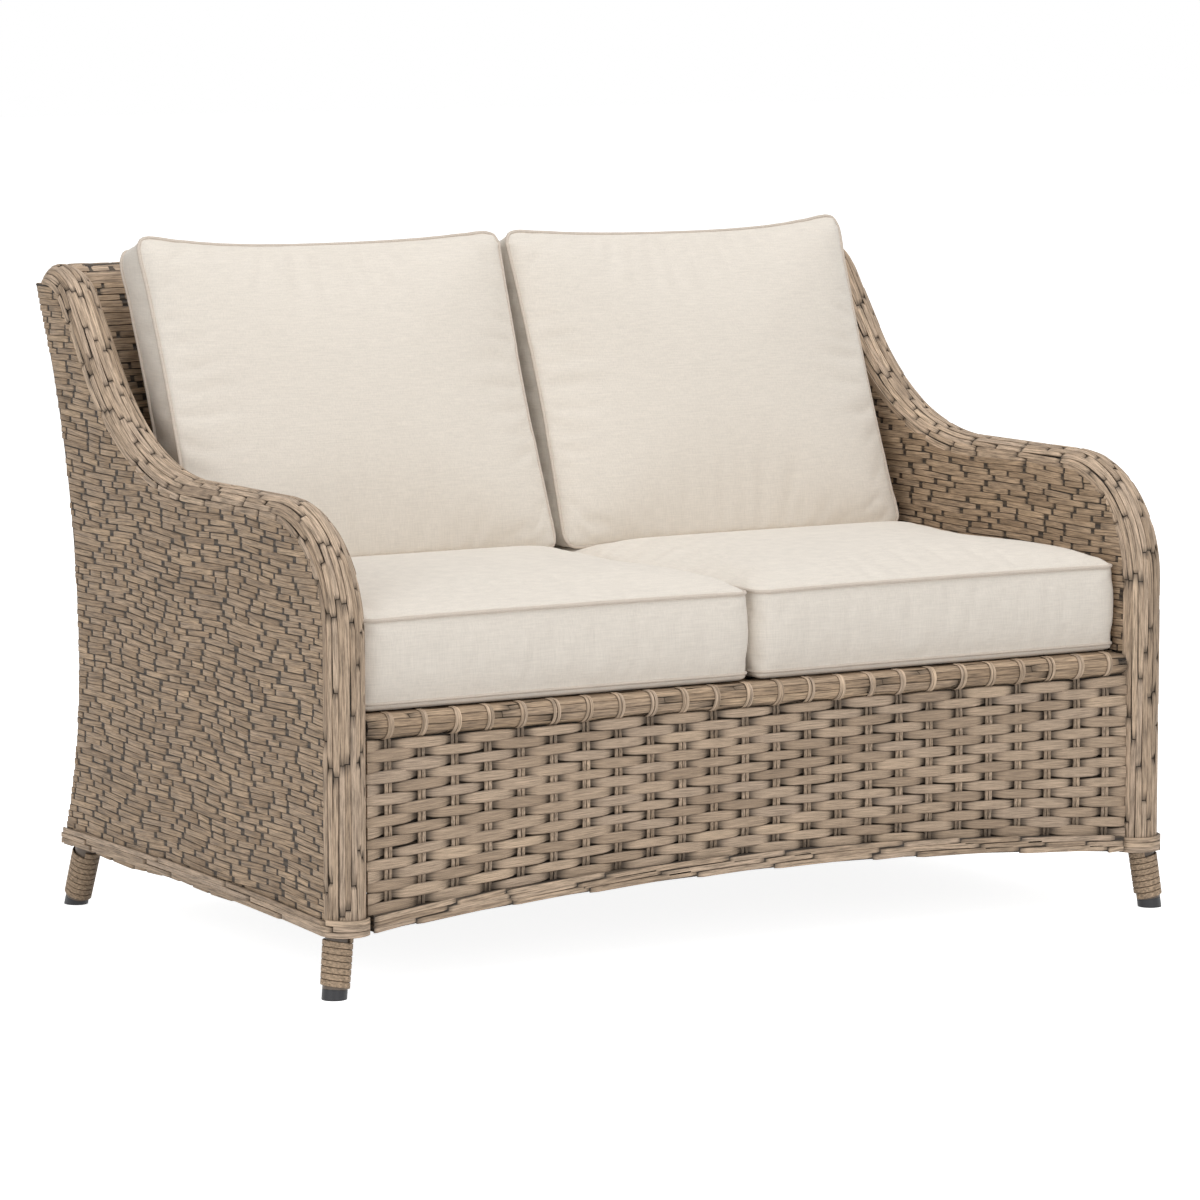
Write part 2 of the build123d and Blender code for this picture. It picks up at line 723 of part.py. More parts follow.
with BuildPart() as rear_glides:
    build_glide(rear_leg)
    mirror(about=Plane.YZ)

# Strand wound round each leg: quarter turns of one unbroken helix, from the glide up to the rim
wrap_radius = leg_radius + wrap_seat
wrap_pitch = wrap_width + wrap_gap
wrap_start = glide_height + wrap_seat + wrap_width / 2


def wrap_point(quarter):
    """Inner face of the strand after a number of quarter turns, in the leg's own frame."""
    turn = quarter * pi / 2
    return (wrap_radius * cos(turn), wrap_radius * sin(turn), wrap_start + wrap_pitch * quarter / 4)


def build_wrap(plane, turns, top_z):
    """Winds a strand, flat inside and ridged outside, round a leg and cuts it level under the rim."""
    with BuildLine(plane) as helix:
        for quarter in range(4 * turns):
            ThreePointArc(wrap_point(quarter), wrap_point(quarter + 0.5), wrap_point(quarter + 1))
    with BuildLine(plane) as axis:
        Line((0, 0, wrap_start), (0, 0, wrap_start + wrap_pitch * turns))
    path = helix.wires()[0]
    with BuildSketch(Plane(origin=path @ 0, x_dir=plane.x_dir, z_dir=path % 0)) as strand:
        Polygon((0, wrap_width / 2), (0, -wrap_width / 2), (wrap_thickness, 0), align=None)
    sweep(strand.sketch, path=path, binormal=axis.wires()[0])
    split(bisect_by=Plane.XY.offset(top_z), keep=Keep.BOTTOM)


front_wrap_top_z = side_rim_front_z - fit_gap
rear_wrap_top_z = side_rim_rear_z - fit_gap

with BuildPart() as front_leg_wraps:
    build_wrap(front_leg, wrap_turns, front_wrap_top_z)
    mirror(about=Plane.YZ)

with BuildPart() as rear_leg_wraps:
    build_wrap(rear_leg, wrap_turns + 1, rear_wrap_top_z)
    mirror(about=Plane.YZ)


# Cushions: box-edged. Each is what its outline, with the sides drawn in between the corners, has in
# common with two crowned sections, one each way
def cushion_outline(plane, half_width, low, high, draw):
    """Sketches a cushion's outline, its sides drawn in by an amount between its corners."""
    middle = (low + high) / 2
    with BuildSketch(plane) as outline:
        with BuildLine():
            ThreePointArc((-half_width, low), (0, low + draw), (half_width, low))
            ThreePointArc((half_width, low), (half_width - draw, middle), (half_width, high))
            ThreePointArc((half_width, high), (0, high - draw), (-half_width, high))
            ThreePointArc((-half_width, high), (-half_width + draw, middle), (-half_width, low))
        make_face()
        fillet(outline.vertices(), cushion_corner)
    return outline.sketch


def crown_arcs(low, high, seam, rise):
    """Draws a crown over two seams: one long arc, and a short one between it and each seam."""
    way = copysign(1, rise)
    middle = (low + high) / 2
    run = (high - low) / 2 - crown_roll_radius * sin(radians(crown_edge_angle))
    lift = abs(rise) - crown_roll_radius * (1 - cos(radians(crown_edge_angle)))
    join_angle = 2 * degrees(atan2(lift, run))
    long_radius = crown_roll_radius + run / sin(radians(join_angle))
    CenterArc((middle, seam + rise - way * long_radius), long_radius, way * 90 - join_angle, 2 * join_angle)
    for side in (-way, way):
        roll_middle = (middle + side * way * run, seam + rise - way * (crown_roll_radius + lift))
        CenterArc(roll_middle, crown_roll_radius, way * 90 - side * join_angle,
                  side * (join_angle - crown_edge_angle))


def seat_section(plane, low, high, crown_high):
    """Sketches a seat cushion's section, with its top seam on the plane's X axis."""
    bottom = seat_cushion_foot_z - seat_top_seam_z
    with BuildSketch(plane) as section:
        with BuildLine():
            crown_arcs(low, crown_high, 0, seat_crown)
            Polyline((low, 0), (low, -seat_boxing), (low + seat_bottom_inset, bottom),
                     (high - seat_bottom_inset, bottom), (high, -seat_boxing), (high, 0))
            if crown_high < high:
                Line((high, 0), (crown_high, 0))
        make_face()
        if crown_high < high:
            rest = seat_rest_z - seat_top_seam_z
            rest_low = crown_high - crown_roll_radius / 2
            with Locations(((rest_low + high) / 2, rest / 2)):
                Rectangle(high - rest_low, rest)
    return section.sketch


def back_section(plane, low, high):
    """Sketches a back cushion's section, with its front seam on the plane's X axis."""
    with BuildSketch(plane) as section:
        with BuildLine():
            crown_arcs(low, high, 0, back_crown)
            crown_arcs(low, high, -back_boxing, -rear_crown)
            Line((low, 0), (low, -back_boxing))
            Line((high, 0), (high, -back_boxing))
        make_face()
    return section.sketch


back_seam_y = seat_back_y - back_seam_depth
back_rest_z = back_seam_z + back_rest_gap
seat_rest_z = back_rest_z - fit_gap
seat_cushion_front_y = post_front_y + seat_cushion_inset
seat_cushion_rear_y = seat_back_y - seat_cushion_rear_gap
seat_cushion_middle_x = cushion_gap + seat_cushion_width / 2
seat_cushion_half = seat_cushion_width / 2
seat_cushion_foot_z = seat_top_z + fit_gap
seat_top_seam_z = seat_top_z + seat_bottom_seam + seat_boxing
seat_crown_rear_y = back_seam_y - cushion_corner / 2
seat_seam_middle = (seat_cushion_middle_x, 0, seat_top_seam_z)

with BuildPart() as right_seat_cushion:
    extrude(cushion_outline(Plane(seat_seam_middle), seat_cushion_half, seat_cushion_front_y,
                            seat_cushion_rear_y, seat_draw), amount=seat_top_seam_z, both=True)
    extrude(seat_section(Plane(seat_seam_middle, x_dir=(1, 0, 0), z_dir=(0, -1, 0)),
                         -seat_cushion_half, seat_cushion_half, seat_cushion_half),
            amount=overall_depth, both=True, mode=Mode.INTERSECT)
    extrude(seat_section(Plane(seat_seam_middle, x_dir=(0, 1, 0), z_dir=(1, 0, 0)),
                         seat_cushion_front_y, seat_cushion_rear_y, seat_crown_rear_y),
            amount=seat_cushion_width, both=True, mode=Mode.INTERSECT)

with BuildPart() as left_seat_cushion:
    mirror(right_seat_cushion.part, about=Plane.YZ)

# Back cushions, on a plane that leans with the inner back
back_cushion_width = seat_cushion_width - back_cushion_margin
back_cushion_half = back_cushion_width / 2
back_seam_foot = (cushion_gap + back_cushion_half, back_seam_y, back_seam_z)
back_out = (0, -recline_cos, recline_sin)
back_up = (0, recline_sin, recline_cos)
back_down = (0, -recline_sin, -recline_cos)
seam_to_back = (seat_back_y - back_seam_y) * recline_cos + (back_seam_z - back_bend_z) * recline_sin
rear_crown = seam_to_back - back_boxing - fit_gap

with BuildPart() as right_back_cushion:
    extrude(cushion_outline(Plane(back_seam_foot, x_dir=(1, 0, 0), z_dir=back_out), back_cushion_half, 0,
                            back_cushion_height, back_draw), amount=back_cushion_height, both=True)
    extrude(back_section(Plane(back_seam_foot, x_dir=(1, 0, 0), z_dir=back_down),
                         -back_cushion_half, back_cushion_half),
            amount=2 * back_cushion_height, both=True, mode=Mode.INTERSECT)
    extrude(back_section(Plane(back_seam_foot, x_dir=back_up, z_dir=(1, 0, 0)), 0, back_cushion_height),
            amount=back_cushion_width, both=True, mode=Mode.INTERSECT)
    split(bisect_by=Plane.XY.offset(back_rest_z), keep=Keep.TOP)

with BuildPart() as left_back_cushion:
    mirror(right_back_cushion.part, about=Plane.YZ)

os.makedirs("parts", exist_ok=True)
pieces = {
    "left_arm_tube": left_arm_tube, "right_arm_tube": right_arm_tube,
    "rear_left_post": rear_left_post, "rear_right_post": rear_right_post,
    "front_legs": front_legs, "rear_legs": rear_legs,
    "front_seat_rail": front_seat_rail, "rear_seat_rail": rear_seat_rail,
    "left_seat_rail": left_seat_rail, "right_seat_rail": right_seat_rail,
    "deck_cross_bars": deck_cross_bars,
    "front_base_rail": front_base_rail, "rear_base_rail": rear_base_rail,
    "left_base_rail": left_base_rail, "right_base_rail": right_base_rail,
    "back_top_rail": back_top_rail, "back_stiles": back_stiles, "lumbar_rail": lumbar_rail,
    "left_outer_panel": left_outer_panel, "right_outer_panel": right_outer_panel,
    "left_inner_panel": left_inner_panel, "right_inner_panel": right_inner_panel,
    "back_outer_panel": back_outer_panel, "back_inner_panel": back_inner_panel,
    "seat_deck": seat_deck,
    "left_arm_cap": left_arm_cap, "right_arm_cap": right_arm_cap, "back_top_cap": back_top_cap,
    "front_rail_band": front_rail_band, "apron_stakes": apron_stakes, "apron_wefts": apron_wefts,
    "front_base_rim": front_base_rim, "rear_base_rim": rear_base_rim,
    "left_base_rim": left_base_rim, "right_base_rim": right_base_rim,
    "front_leg_wraps": front_leg_wraps, "rear_leg_wraps": rear_leg_wraps,
    "front_glides": front_glides, "rear_glides": rear_glides,
    "left_seat_cushion": left_seat_cushion, "right_seat_cushion": right_seat_cushion,
    "left_back_cushion": left_back_cushion, "right_back_cushion": right_back_cushion,
}
for name, piece in pieces.items():
    piece.part.label = name
    export_step(piece.part, f"parts/{name}.step")
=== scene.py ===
"""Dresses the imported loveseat: woven resin strands over its panels, caps, apron and rims, wound
legs, and four stuffed cushions with piped seams. Metres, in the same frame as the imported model."""

from math import atan2, ceil, cos, pi, radians, sin, tan

import bpy
import numpy as np
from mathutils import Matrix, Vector
from mathutils.bvhtree import BVHTree


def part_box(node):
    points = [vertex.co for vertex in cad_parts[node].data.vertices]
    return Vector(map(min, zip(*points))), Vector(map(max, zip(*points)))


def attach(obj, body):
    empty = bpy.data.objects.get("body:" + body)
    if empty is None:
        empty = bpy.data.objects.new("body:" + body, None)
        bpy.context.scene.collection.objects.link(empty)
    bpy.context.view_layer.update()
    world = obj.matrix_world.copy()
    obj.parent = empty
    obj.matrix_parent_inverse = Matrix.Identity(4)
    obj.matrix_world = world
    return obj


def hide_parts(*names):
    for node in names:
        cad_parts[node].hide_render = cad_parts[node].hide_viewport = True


bl_info = {
    "name": "Woven loveseat",
    "version": (1, 0, 0),
    "blender": (4, 5, 0),
    "location": "3D View > Sidebar > Loveseat",
    "description": "Weaves the strands of a patio loveseat and stuffs its cushions",
    "category": "Object",
}

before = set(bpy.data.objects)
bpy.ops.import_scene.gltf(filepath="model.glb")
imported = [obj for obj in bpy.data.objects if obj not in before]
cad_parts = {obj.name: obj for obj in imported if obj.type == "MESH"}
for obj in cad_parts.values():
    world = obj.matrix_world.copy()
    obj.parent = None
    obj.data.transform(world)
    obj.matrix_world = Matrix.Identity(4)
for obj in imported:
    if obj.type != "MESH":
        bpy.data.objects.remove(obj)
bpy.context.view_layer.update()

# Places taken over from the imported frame
arm_low, arm_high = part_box("right_arm_cap")
band_low, band_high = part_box("front_rail_band")
deck_low, deck_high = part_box("seat_deck")
back_cap_low, back_cap_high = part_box("back_top_cap")
stake_low, stake_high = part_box("apron_stakes")
frame_body = "frame"
sides = ((-1, "left"), (1, "right"))
fit_gap = 0.0003

arm_middle_x = (arm_low[0] + arm_high[0]) / 2
arm_radius = (arm_high[0] - arm_low[0]) / 2
outer_face_x = arm_middle_x + arm_radius
inner_face_x = arm_low[0]
post_front_y = arm_low[1]
rear_y = arm_high[1]
back_top_z = arm_high[2]
cap_seat_z = back_top_z - arm_radius
crown_end_y = rear_y - arm_radius
seat_top_z = deck_high[2]
apron_half_width = band_high[0]

# Arm outline
post_base_z = 0.087
arm_top_z = 0.651
front_roll_radius = 0.175
top_roll_radius = 0.1005
sweep_run = 0.442
slope_length = 0.11574
sweep_rise = back_top_z - arm_top_z
both_radii = (sweep_run ** 2 + sweep_rise ** 2 - slope_length ** 2) / (2 * sweep_rise)
sweep_radius = both_radii - top_roll_radius
sweep_angle = atan2(both_radii, slope_length) - atan2(both_radii - sweep_rise, sweep_run)
level_run = crown_end_y - sweep_run - post_front_y - front_roll_radius
panel_inset = arm_radius + fit_gap

# Rear outline and inner back
waist_z = 0.36
waist_y = 0.321
lower_rear_radius = 0.65
upper_rear_radius = 1.18
rear_base_z = 0.096
back_bend_z = 0.5
back_recline = radians(21.3)
seat_back_y = back_cap_low[1] - (cap_seat_z - back_bend_z) * tan(back_recline)

# Apron, rims and legs. A leg has its foot, its top, its top's height and its winding's upper end
stake_count = 24
stake_pitch = 0.0508
weft_count = 16
apron_top_z = stake_high[2]
apron_middle_y = (stake_low[1] + stake_high[1]) / 2
weft_swing = 0.0039
arch_end_z = 0.085
arch_rise = 0.031
arch_radius = (apron_half_width ** 2 + arch_rise ** 2) / (2 * arch_rise)
rim_height = 0.022
rim_strands = 3
side_rim_front_z = 0.084
side_rim_middle_z = 0.095
side_rim_rear_z = 0.094
rim_proud = 0.006
leg_radius = 0.017
glide_height = 0.013
legs = {
    "front": ((0.6664, -0.4241), (0.656, -0.417), 0.0868, side_rim_front_z - fit_gap),
    "rear": ((0.6505, 0.3944), (0.6475, 0.356), 0.0958, side_rim_rear_z - fit_gap),
}

# Cushions
cushion_gap = 0.0047
cushion_corner = 0.022
cushion_voxel = 0.0065
seat_width = 0.61
seat_front_y = -0.4085
seat_rear_y = seat_back_y - 0.003
seat_top_seam_z = 0.496
seat_low_seam_z = 0.384
seat_draw = 0.005
seat_under_slope = 0.009
seat_bulge = (0.002, 0.004)
back_width = 0.59
back_height = 0.487
back_seam_y = 0.1125
back_seam_z = 0.503
back_boxing = 0.062
back_draw = 0.009
back_outer_ear = 0.016
back_inner_ear = 0.005
back_droop = 0.003
back_lean = (sin(back_recline), cos(back_recline))

# Share of the middle colour that each strand gets, from the darkest to the palest
strand_tones = [(0.0, (0.74, 0.72, 0.69)), (0.3, (0.93, 0.92, 0.9)), (0.55, (1.06, 1.06, 1.05)),
                (0.8, (0.96, 0.97, 0.99)), (1.0, (1.2, 1.2, 1.17))]
edge_shade_share = 0.42         # of its colour that a strand keeps along its edges, which are painted darker as shade
crisp_angle = radians(38)

# Length of a strand as a share of its row's usual one, and how often each share comes
run_shares = [0.65, 0.95, 1.3, 1.8]
run_chances = [0.28, 0.36, 0.24, 0.12]
# Slow waves in the rows: radians per metre along and across
wave_along = 22
wave_across = 9


def linear(hex_colour):
    """Turns an sRGB hex colour into linear red, green, blue and a full alpha."""
    channels = [int(hex_colour[place:place + 2], 16) / 255 for place in (1, 3, 5)]
    return [*(c / 12.92 if c <= 0.04045 else ((c + 0.055) / 1.055) ** 2.4 for c in channels), 1.0]


def add_node(tree, kind, sockets=None, stops=(), **settings):
    """Adds a node, sets its settings and colour stops, and gives each named socket its value or link."""
    node = tree.nodes.new(kind)
    for name, value in settings.items():
        setattr(node, name, value)
    for name, value in (sockets or {}).items():
        if isinstance(value, bpy.types.NodeSocket):
            tree.links.new(value, node.inputs[name])
        else:
            node.inputs[name].default_value = value
    if stops:
        ramp = node.color_ramp
        while len(ramp.elements) < len(stops):
            ramp.elements.new(1)
        for element, (place, colour) in zip(ramp.elements, stops):
            element.position = place
            element.color = colour
    return node


def empty_tree(owner):
    """Turns on the nodes of a material or a world and clears them."""
    owner.use_nodes = True
    owner.node_tree.nodes.clear()
    return owner.node_tree


def new_material(name, draw, *details):
    """Makes a material. Draw gives its colour, its relief's height, strength and depth, and the values
    that are even all over it."""
    material = bpy.data.materials.new(name)
    tree = empty_tree(material)
    colour, height, strength, depth, values = draw(tree, *details)
    bump = add_node(tree, "ShaderNodeBump", {"Height": height, "Strength": strength, "Distance": depth})
    shader = add_node(tree, "ShaderNodeBsdfPrincipled",
                      {"Base Color": colour, "Normal": bump.outputs["Normal"], **values})
    add_node(tree, "ShaderNodeOutputMaterial", {"Surface": shader.outputs["BSDF"]})
    return material


def draw_wicker(tree, colour):
    """Extruded polyethylene resin strand, drawn with a wood-fibre streak and dulled like driftwood, and
    painted darker as shade where it dives and along its edges.
    """
    tone = add_node(tree, "ShaderNodeAttribute", attribute_name="shade")
    ramp = add_node(tree, "ShaderNodeValToRGB", {"Fac": tone.outputs["Fac"]},
                    stops=[(place, [part * share for part, share in zip(colour, shares)] + [1.0])
                           for place, shares in strand_tones])
    along = add_node(tree, "ShaderNodeUVMap", uv_map="strand")
    # Fibres 0.5 to 1 mm wide are drawn about 2 mm wide and 40 mm long, so that they show. Then
    # patches 40 mm long, where the resin's print runs darker or paler
    noises = []
    for scale, detail, roughness in (((25, 430, 1), 4, 0.7), ((24, 90, 1), 2, 0.5)):
        stretch = add_node(tree, "ShaderNodeMapping", {"Vector": along.outputs["UV"], "Scale": scale})
        noise = add_node(tree, "ShaderNodeTexNoise", {"Vector": stretch.outputs["Vector"], "Scale": 1,
                                                      "Detail": detail, "Roughness": roughness})
        noises.append(noise.outputs["Fac"])
    # Painted shade: a strand is darker where it dives behind its neighbour and along its edges
    crown = add_node(tree, "ShaderNodeAttribute", attribute_name="crown")
    level = None
    for value, low, high, least, most in ((noises[0], 0.36, 0.6, 0.42, 1.2),
                                          (noises[1], 0.3, 0.7, 0.86, 1.12),
                                          (crown.outputs["Fac"], 0, 1, 0.14, 1)):
        share = add_node(tree, "ShaderNodeMapRange", {"Value": value, "From Min": low, "From Max": high,
                                                      "To Min": least, "To Max": most}).outputs["Result"]
        if level:
            share = add_node(tree, "ShaderNodeMath", {0: level, 1: share},
                             operation="MULTIPLY").outputs["Value"]
        level = share
    tinted = add_node(tree, "ShaderNodeVectorMath", {0: ramp.outputs["Color"], "Scale": level},
                      operation="SCALE")
    return (tinted.outputs["Vector"], noises[0], 0.6, 0.0008,
            {"Roughness": 0.6, "IOR": 1.5, "Specular IOR Level": 0.35})


def draw_core(tree):
    """The same resin deep between the strands, painted dark as shade: dull and faintly ribbed."""
    place = add_node(tree, "ShaderNodeTexCoord")
    # Hidden strands about 8 mm high, in dark painted shade
    ribs = add_node(tree, "ShaderNodeTexWave", {"Vector": place.outputs["Object"], "Scale": 39,
                                                "Distortion": 1.5, "Detail": 2}, bands_direction="Z")
    ramp = add_node(tree, "ShaderNodeValToRGB", {"Fac": ribs.outputs["Fac"]},
                    stops=[(0, linear("#2b231c")), (1, linear("#4e4235"))])
    return ramp.outputs["Color"], ribs.outputs["Fac"], 0.6, 0.002, {"Roughness": 0.7}


def draw_linen(tree, colour, strength):
    """Solution-dyed acrylic in a linen weave: matt, with slubs in both ways of the cloth."""
    place = add_node(tree, "ShaderNodeTexCoord")
    heights = []
    # Threads 1 mm apart are drawn 1.6 mm apart, with slubs 25 mm long, so that they show
    for scale in ((45, 45, 620), (620, 620, 45)):
        stretch = add_node(tree, "ShaderNodeMapping", {"Vector": place.outputs["Object"], "Scale": scale})
        thread = add_node(tree, "ShaderNodeTexNoise", {"Vector": stretch.outputs["Vector"], "Scale": 1,
                                                       "Detail": 3, "Roughness": 0.6})
        heights.append(thread.outputs["Fac"])
    cross = add_node(tree, "ShaderNodeMath", {0: heights[0], 1: heights[1]}, operation="ADD")
    slub = add_node(tree, "ShaderNodeMapRange", {"Value": cross.outputs["Value"], "From Min": 0.7,
                                                 "From Max": 1.3, "To Min": 0.92, "To Max": 1.06})
    tinted = add_node(tree, "ShaderNodeVectorMath", {0: colour, "Scale": slub.outputs["Result"]},
                      operation="SCALE")
    return (tinted.outputs["Vector"], cross.outputs["Value"], strength, 0.0005,
            {"Roughness": 0.92, "Sheen Weight": 0.15, "Sheen Roughness": 0.5, "Specular IOR Level": 0.2})


def draw_grain(tree, scale, detail, dark, pale, strength, depth, roughness):
    """Even paint or plastic with a fine grain."""
    place = add_node(tree, "ShaderNodeTexCoord")
    grain = add_node(tree, "ShaderNodeTexNoise", {"Vector": place.outputs["Object"], "Scale": scale,
                                                  "Detail": detail})
    ramp = add_node(tree, "ShaderNodeValToRGB", {"Fac": grain.outputs["Fac"]},
                    stops=[(0.2, linear(dark)), (0.8, linear(pale))])
    return ramp.outputs["Color"], grain.outputs["Fac"], strength, depth, {"Roughness": roughness}


def finish(name):
    """Gives a material by its name, made on its first use."""
    colours = bpy.context.scene.loveseat_finish
    recipes = {
        "driftwood_resin_strand": (draw_wicker, colours.strand_colour),
        # The same resin in a darker colour: painted shade on the walls, the band and the legs
        "shaded_resin_strand": (draw_wicker, colours.shaded_wall_colour),
        # Dark resin between the strands: painted shade
        "dark_shade_resin_core": (draw_core,),
        "linen_weave_acrylic": (draw_linen, colours.cushion_colour, 0.5),
        "linen_weave_piping": (draw_linen, colours.piping_colour, 0.7),
        # Nylon of the glides: satin, with a fine grain from the mould
        "moulded_black_nylon": (draw_grain, 900, 3, "#17171a", "#26262a", 0.2, 0.0003, 0.45),
        # Tube paint: even, with an orange peel about 2 mm across
        "powder_coated_aluminium": (draw_grain, 500, 1, "#5d5044", "#6a5c4f", 0.15, 0.0002, 0.4),
    }
    return bpy.data.materials.get(name) or new_material(name, *recipes[name])


def deselect_all():
    """Leaves edit mode and deselects every object."""
    if bpy.context.object and bpy.context.object.mode != "OBJECT":
        bpy.ops.object.mode_set(mode="OBJECT")
    bpy.ops.object.select_all(action="DESELECT")


def make_active(piece):
    """Selects one object only and makes it the active one."""
    deselect_all()
    piece.select_set(True)
    bpy.context.view_layer.objects.active = piece


def add_piece(name, data):
    """Puts a new piece in the scene and makes it the active one."""
    piece = bpy.data.objects.new(name, data)
    bpy.context.scene.collection.objects.link(piece)
    make_active(piece)
    return piece


def select_by_place(piece, test):
    """In edit mode, selects the vertices whose place passes a test, and nothing else."""
    bpy.ops.mesh.select_all(action="DESELECT")
    bpy.ops.object.mode_set(mode="OBJECT")
    for vertex in piece.data.vertices:
        vertex.select = test(vertex.co)
    bpy.ops.object.mode_set(mode="EDIT")


def model_strand(corners, cuts, rings=(), flat=1.6):
    """Models one strand along X, a unit long, wide and thick, with evenly spaced or given cuts across.

    Each ring gives a place along the strand, how wide and thick it is there, and how far it dips.
    Flat is how much broader its upper and lower faces are than a round strand's."""
    if isinstance(cuts, int):
        cuts = [-0.5 + (cut + 1) / (cuts + 1) for cut in range(cuts)]
    deselect_all()
    bpy.ops.mesh.primitive_cylinder_add(vertices=corners, radius=0.5, depth=1, rotation=(0, pi / 2, 0))
    strand = bpy.context.object
    bpy.ops.object.transform_apply(location=False, rotation=True, scale=False)
    bpy.ops.object.mode_set(mode="EDIT")
    bpy.ops.mesh.select_mode(type="VERT")
    for cut in cuts:
        bpy.ops.mesh.select_all(action="SELECT")
        bpy.ops.mesh.bisect(plane_co=(cut, 0, 0), plane_no=(1, 0, 0))
    select_by_place(strand, lambda co: abs(co.z) > 0.2)
    bpy.ops.transform.resize(value=(1, flat, 1), center_override=(0, 0, 0))
    for place, width, thickness, dip in rings:
        select_by_place(strand, lambda co: abs(co.x - place) < 0.001)
        bpy.ops.transform.resize(value=(1, width, thickness), center_override=(0, 0, 0))
        bpy.ops.transform.translate(value=(0, 0, -dip))
    bpy.ops.object.mode_set(mode="OBJECT")
    points = np.array([vertex.co[:] for vertex in strand.data.vertices])
    faces = [list(polygon.vertices) for polygon in strand.data.polygons]
    bpy.data.objects.remove(strand)
    return points, faces


def short_strand():
    """A short flat strand of the weave: one end comes up from behind a neighbour, the other dives."""
    return model_strand(6, (-0.4, 0, 0.42), [(-0.5, 0.82, 0.6, 0.85), (-0.4, 1, 1, 0.12),
                                             (0.42, 1, 1, 0.04), (0.5, 0.9, 0.7, 0.5)])


def long_strand(cuts):
    """A long flat strand that follows a curved surface, with its ends tucked in."""
    return model_strand(6, cuts, [(-0.5, 0.86, 0.6, 0.5), (0.5, 0.86, 0.6, 0.5)])


def weft_strand():
    """One whole wave of a weft: full in front of a stake pair, narrow where it dives behind the next."""
    places = [-0.5 + cut / 12 for cut in range(13)]
    rings = []
    for place in places:
        dive = min(max((abs(place) - 0.27) / 0.2, 0), 1)
        dive = dive * dive * (3 - 2 * dive)
        rings.append((place, 1.06 - 0.16 * dive - 0.9 * place ** 2, 1, 2 * dive + 1.2 * place ** 2))
    return model_strand(6, places[1:-1], rings, flat=1.55)


def lay_strands(name, strand, places, surface, material, seed=1, sink=0.45):
    """Copies a modelled strand to each place on a surface and joins the copies in one piece.

    A place is where the strand's middle lies along, across and over the surface, its length, width
    and thickness, and its slant: how far across it runs from end to end. Sink is how deep, in
    thicknesses, a strand lies where its painted shade is darkest."""
    corners, faces = strand
    places = np.array(places, dtype=float)
    count, size = len(places), len(corners)
    middle, side, lift, length, width, thickness, slant = [places[:, column, None] for column in range(7)]
    points = surface((middle + corners[None, :, 0] * length).ravel(),
                     (side + corners[None, :, 1] * width + corners[None, :, 0] * slant).ravel(),
                     (lift + corners[None, :, 2] * thickness).ravel())
    indices = [[start + corner for corner in face] for start in np.arange(count) * size for face in faces]
    mesh = bpy.data.meshes.new(name)
    mesh.from_pydata(points.tolist(), [], indices)
    chooser = np.random.default_rng(seed)
    shade = mesh.attributes.new("shade", "FLOAT", "POINT")
    shade.data.foreach_set("value", np.repeat(chooser.random(count), size))
    # Painted shade: the crown attribute darkens a strand the deeper it dives, and along its edges
    depth = np.clip((corners[:, 2] + sink) / (sink + 0.2), 0, 1)
    same_ring = np.abs(corners[:, None, 0] - corners[None, :, 0]) < 1e-4
    widest = np.where(same_ring, np.abs(corners[None, :, 1]), 0).max(axis=1)
    at_edge = np.abs(corners[:, 1]) > 0.97 * widest
    crown = mesh.attributes.new("crown", "FLOAT", "POINT")
    crown.data.foreach_set("value", np.tile(np.where(at_edge, edge_shade_share, 1) * depth, count))
    flat = np.array([corner for face in faces for corner in face])
    slide = chooser.random(count)[:, None] * 7
    uv = np.stack([slide + corners[None, flat, 0] * length, slide + corners[None, flat, 1] * width], axis=-1)
    mesh.uv_layers.new(name="strand").data.foreach_set("uv", uv.ravel())
    piece = add_piece(name, mesh)
    bpy.ops.object.mode_set(mode="EDIT")
    bpy.ops.mesh.select_all(action="SELECT")
    bpy.ops.mesh.normals_make_consistent(inside=False)
    bpy.ops.object.mode_set(mode="OBJECT")
    bpy.ops.object.shade_smooth_by_angle(angle=crisp_angle)
    mesh.materials.append(finish(material))
    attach(piece, frame_body)
    return piece


def walk(start, heading, runs, step=0.004):
    """Follows runs, each a length and a turn, and gives the points, headings and distances passed."""
    y, z = start
    points, headings, travelled = [(y, z)], [heading], [0]
    for length, turn in runs:
        count = ceil(length / step)
        for _ in range(count):
            half = turn / count / 2
            chord = length / count * (sin(half) / half if half else 1)
            heading += half
            y += chord * cos(heading)
            z += chord * sin(heading)
            heading += half
            points.append((y, z))
            headings.append(heading)
            travelled.append(travelled[-1] + length / count)
    return np.array(points), np.array(headings), np.array(travelled)


def path_at(path, along):
    """Gives the two places and the heading on a walked path at distances along it."""
    points, headings, travelled = path
    return (np.interp(along, travelled, points[:, 0]), np.interp(along, travelled, points[:, 1]),
            np.interp(along, travelled, headings))


post_run = arm_top_z - front_roll_radius - post_base_z
crown_path = walk((post_front_y, post_base_z), pi / 2, [
    (post_run, 0),
    (front_roll_radius * pi / 2, -pi / 2),
    (level_run, 0),
    (sweep_radius * sweep_angle, sweep_angle),
    (slope_length, 0),
    (top_roll_radius * sweep_angle, -sweep_angle),
    (arm_radius * pi / 2, -pi / 2),
])

# Line on which the arm's walls end, under the cap
wall_line = np.array([(y - panel_inset * cos(turn + pi / 2), z - panel_inset * sin(turn + pi / 2))
                      for (y, z), turn in zip(*crown_path[:2])])[:-1]
wall_line = wall_line[np.concatenate([[True], np.diff(wall_line[:, 1]) > 1e-6])]


def wall_front_y(z):
    """Front end of a row of the arm's wall at a height."""
    return float(np.interp(z, wall_line[:, 1], wall_line[:, 0]))


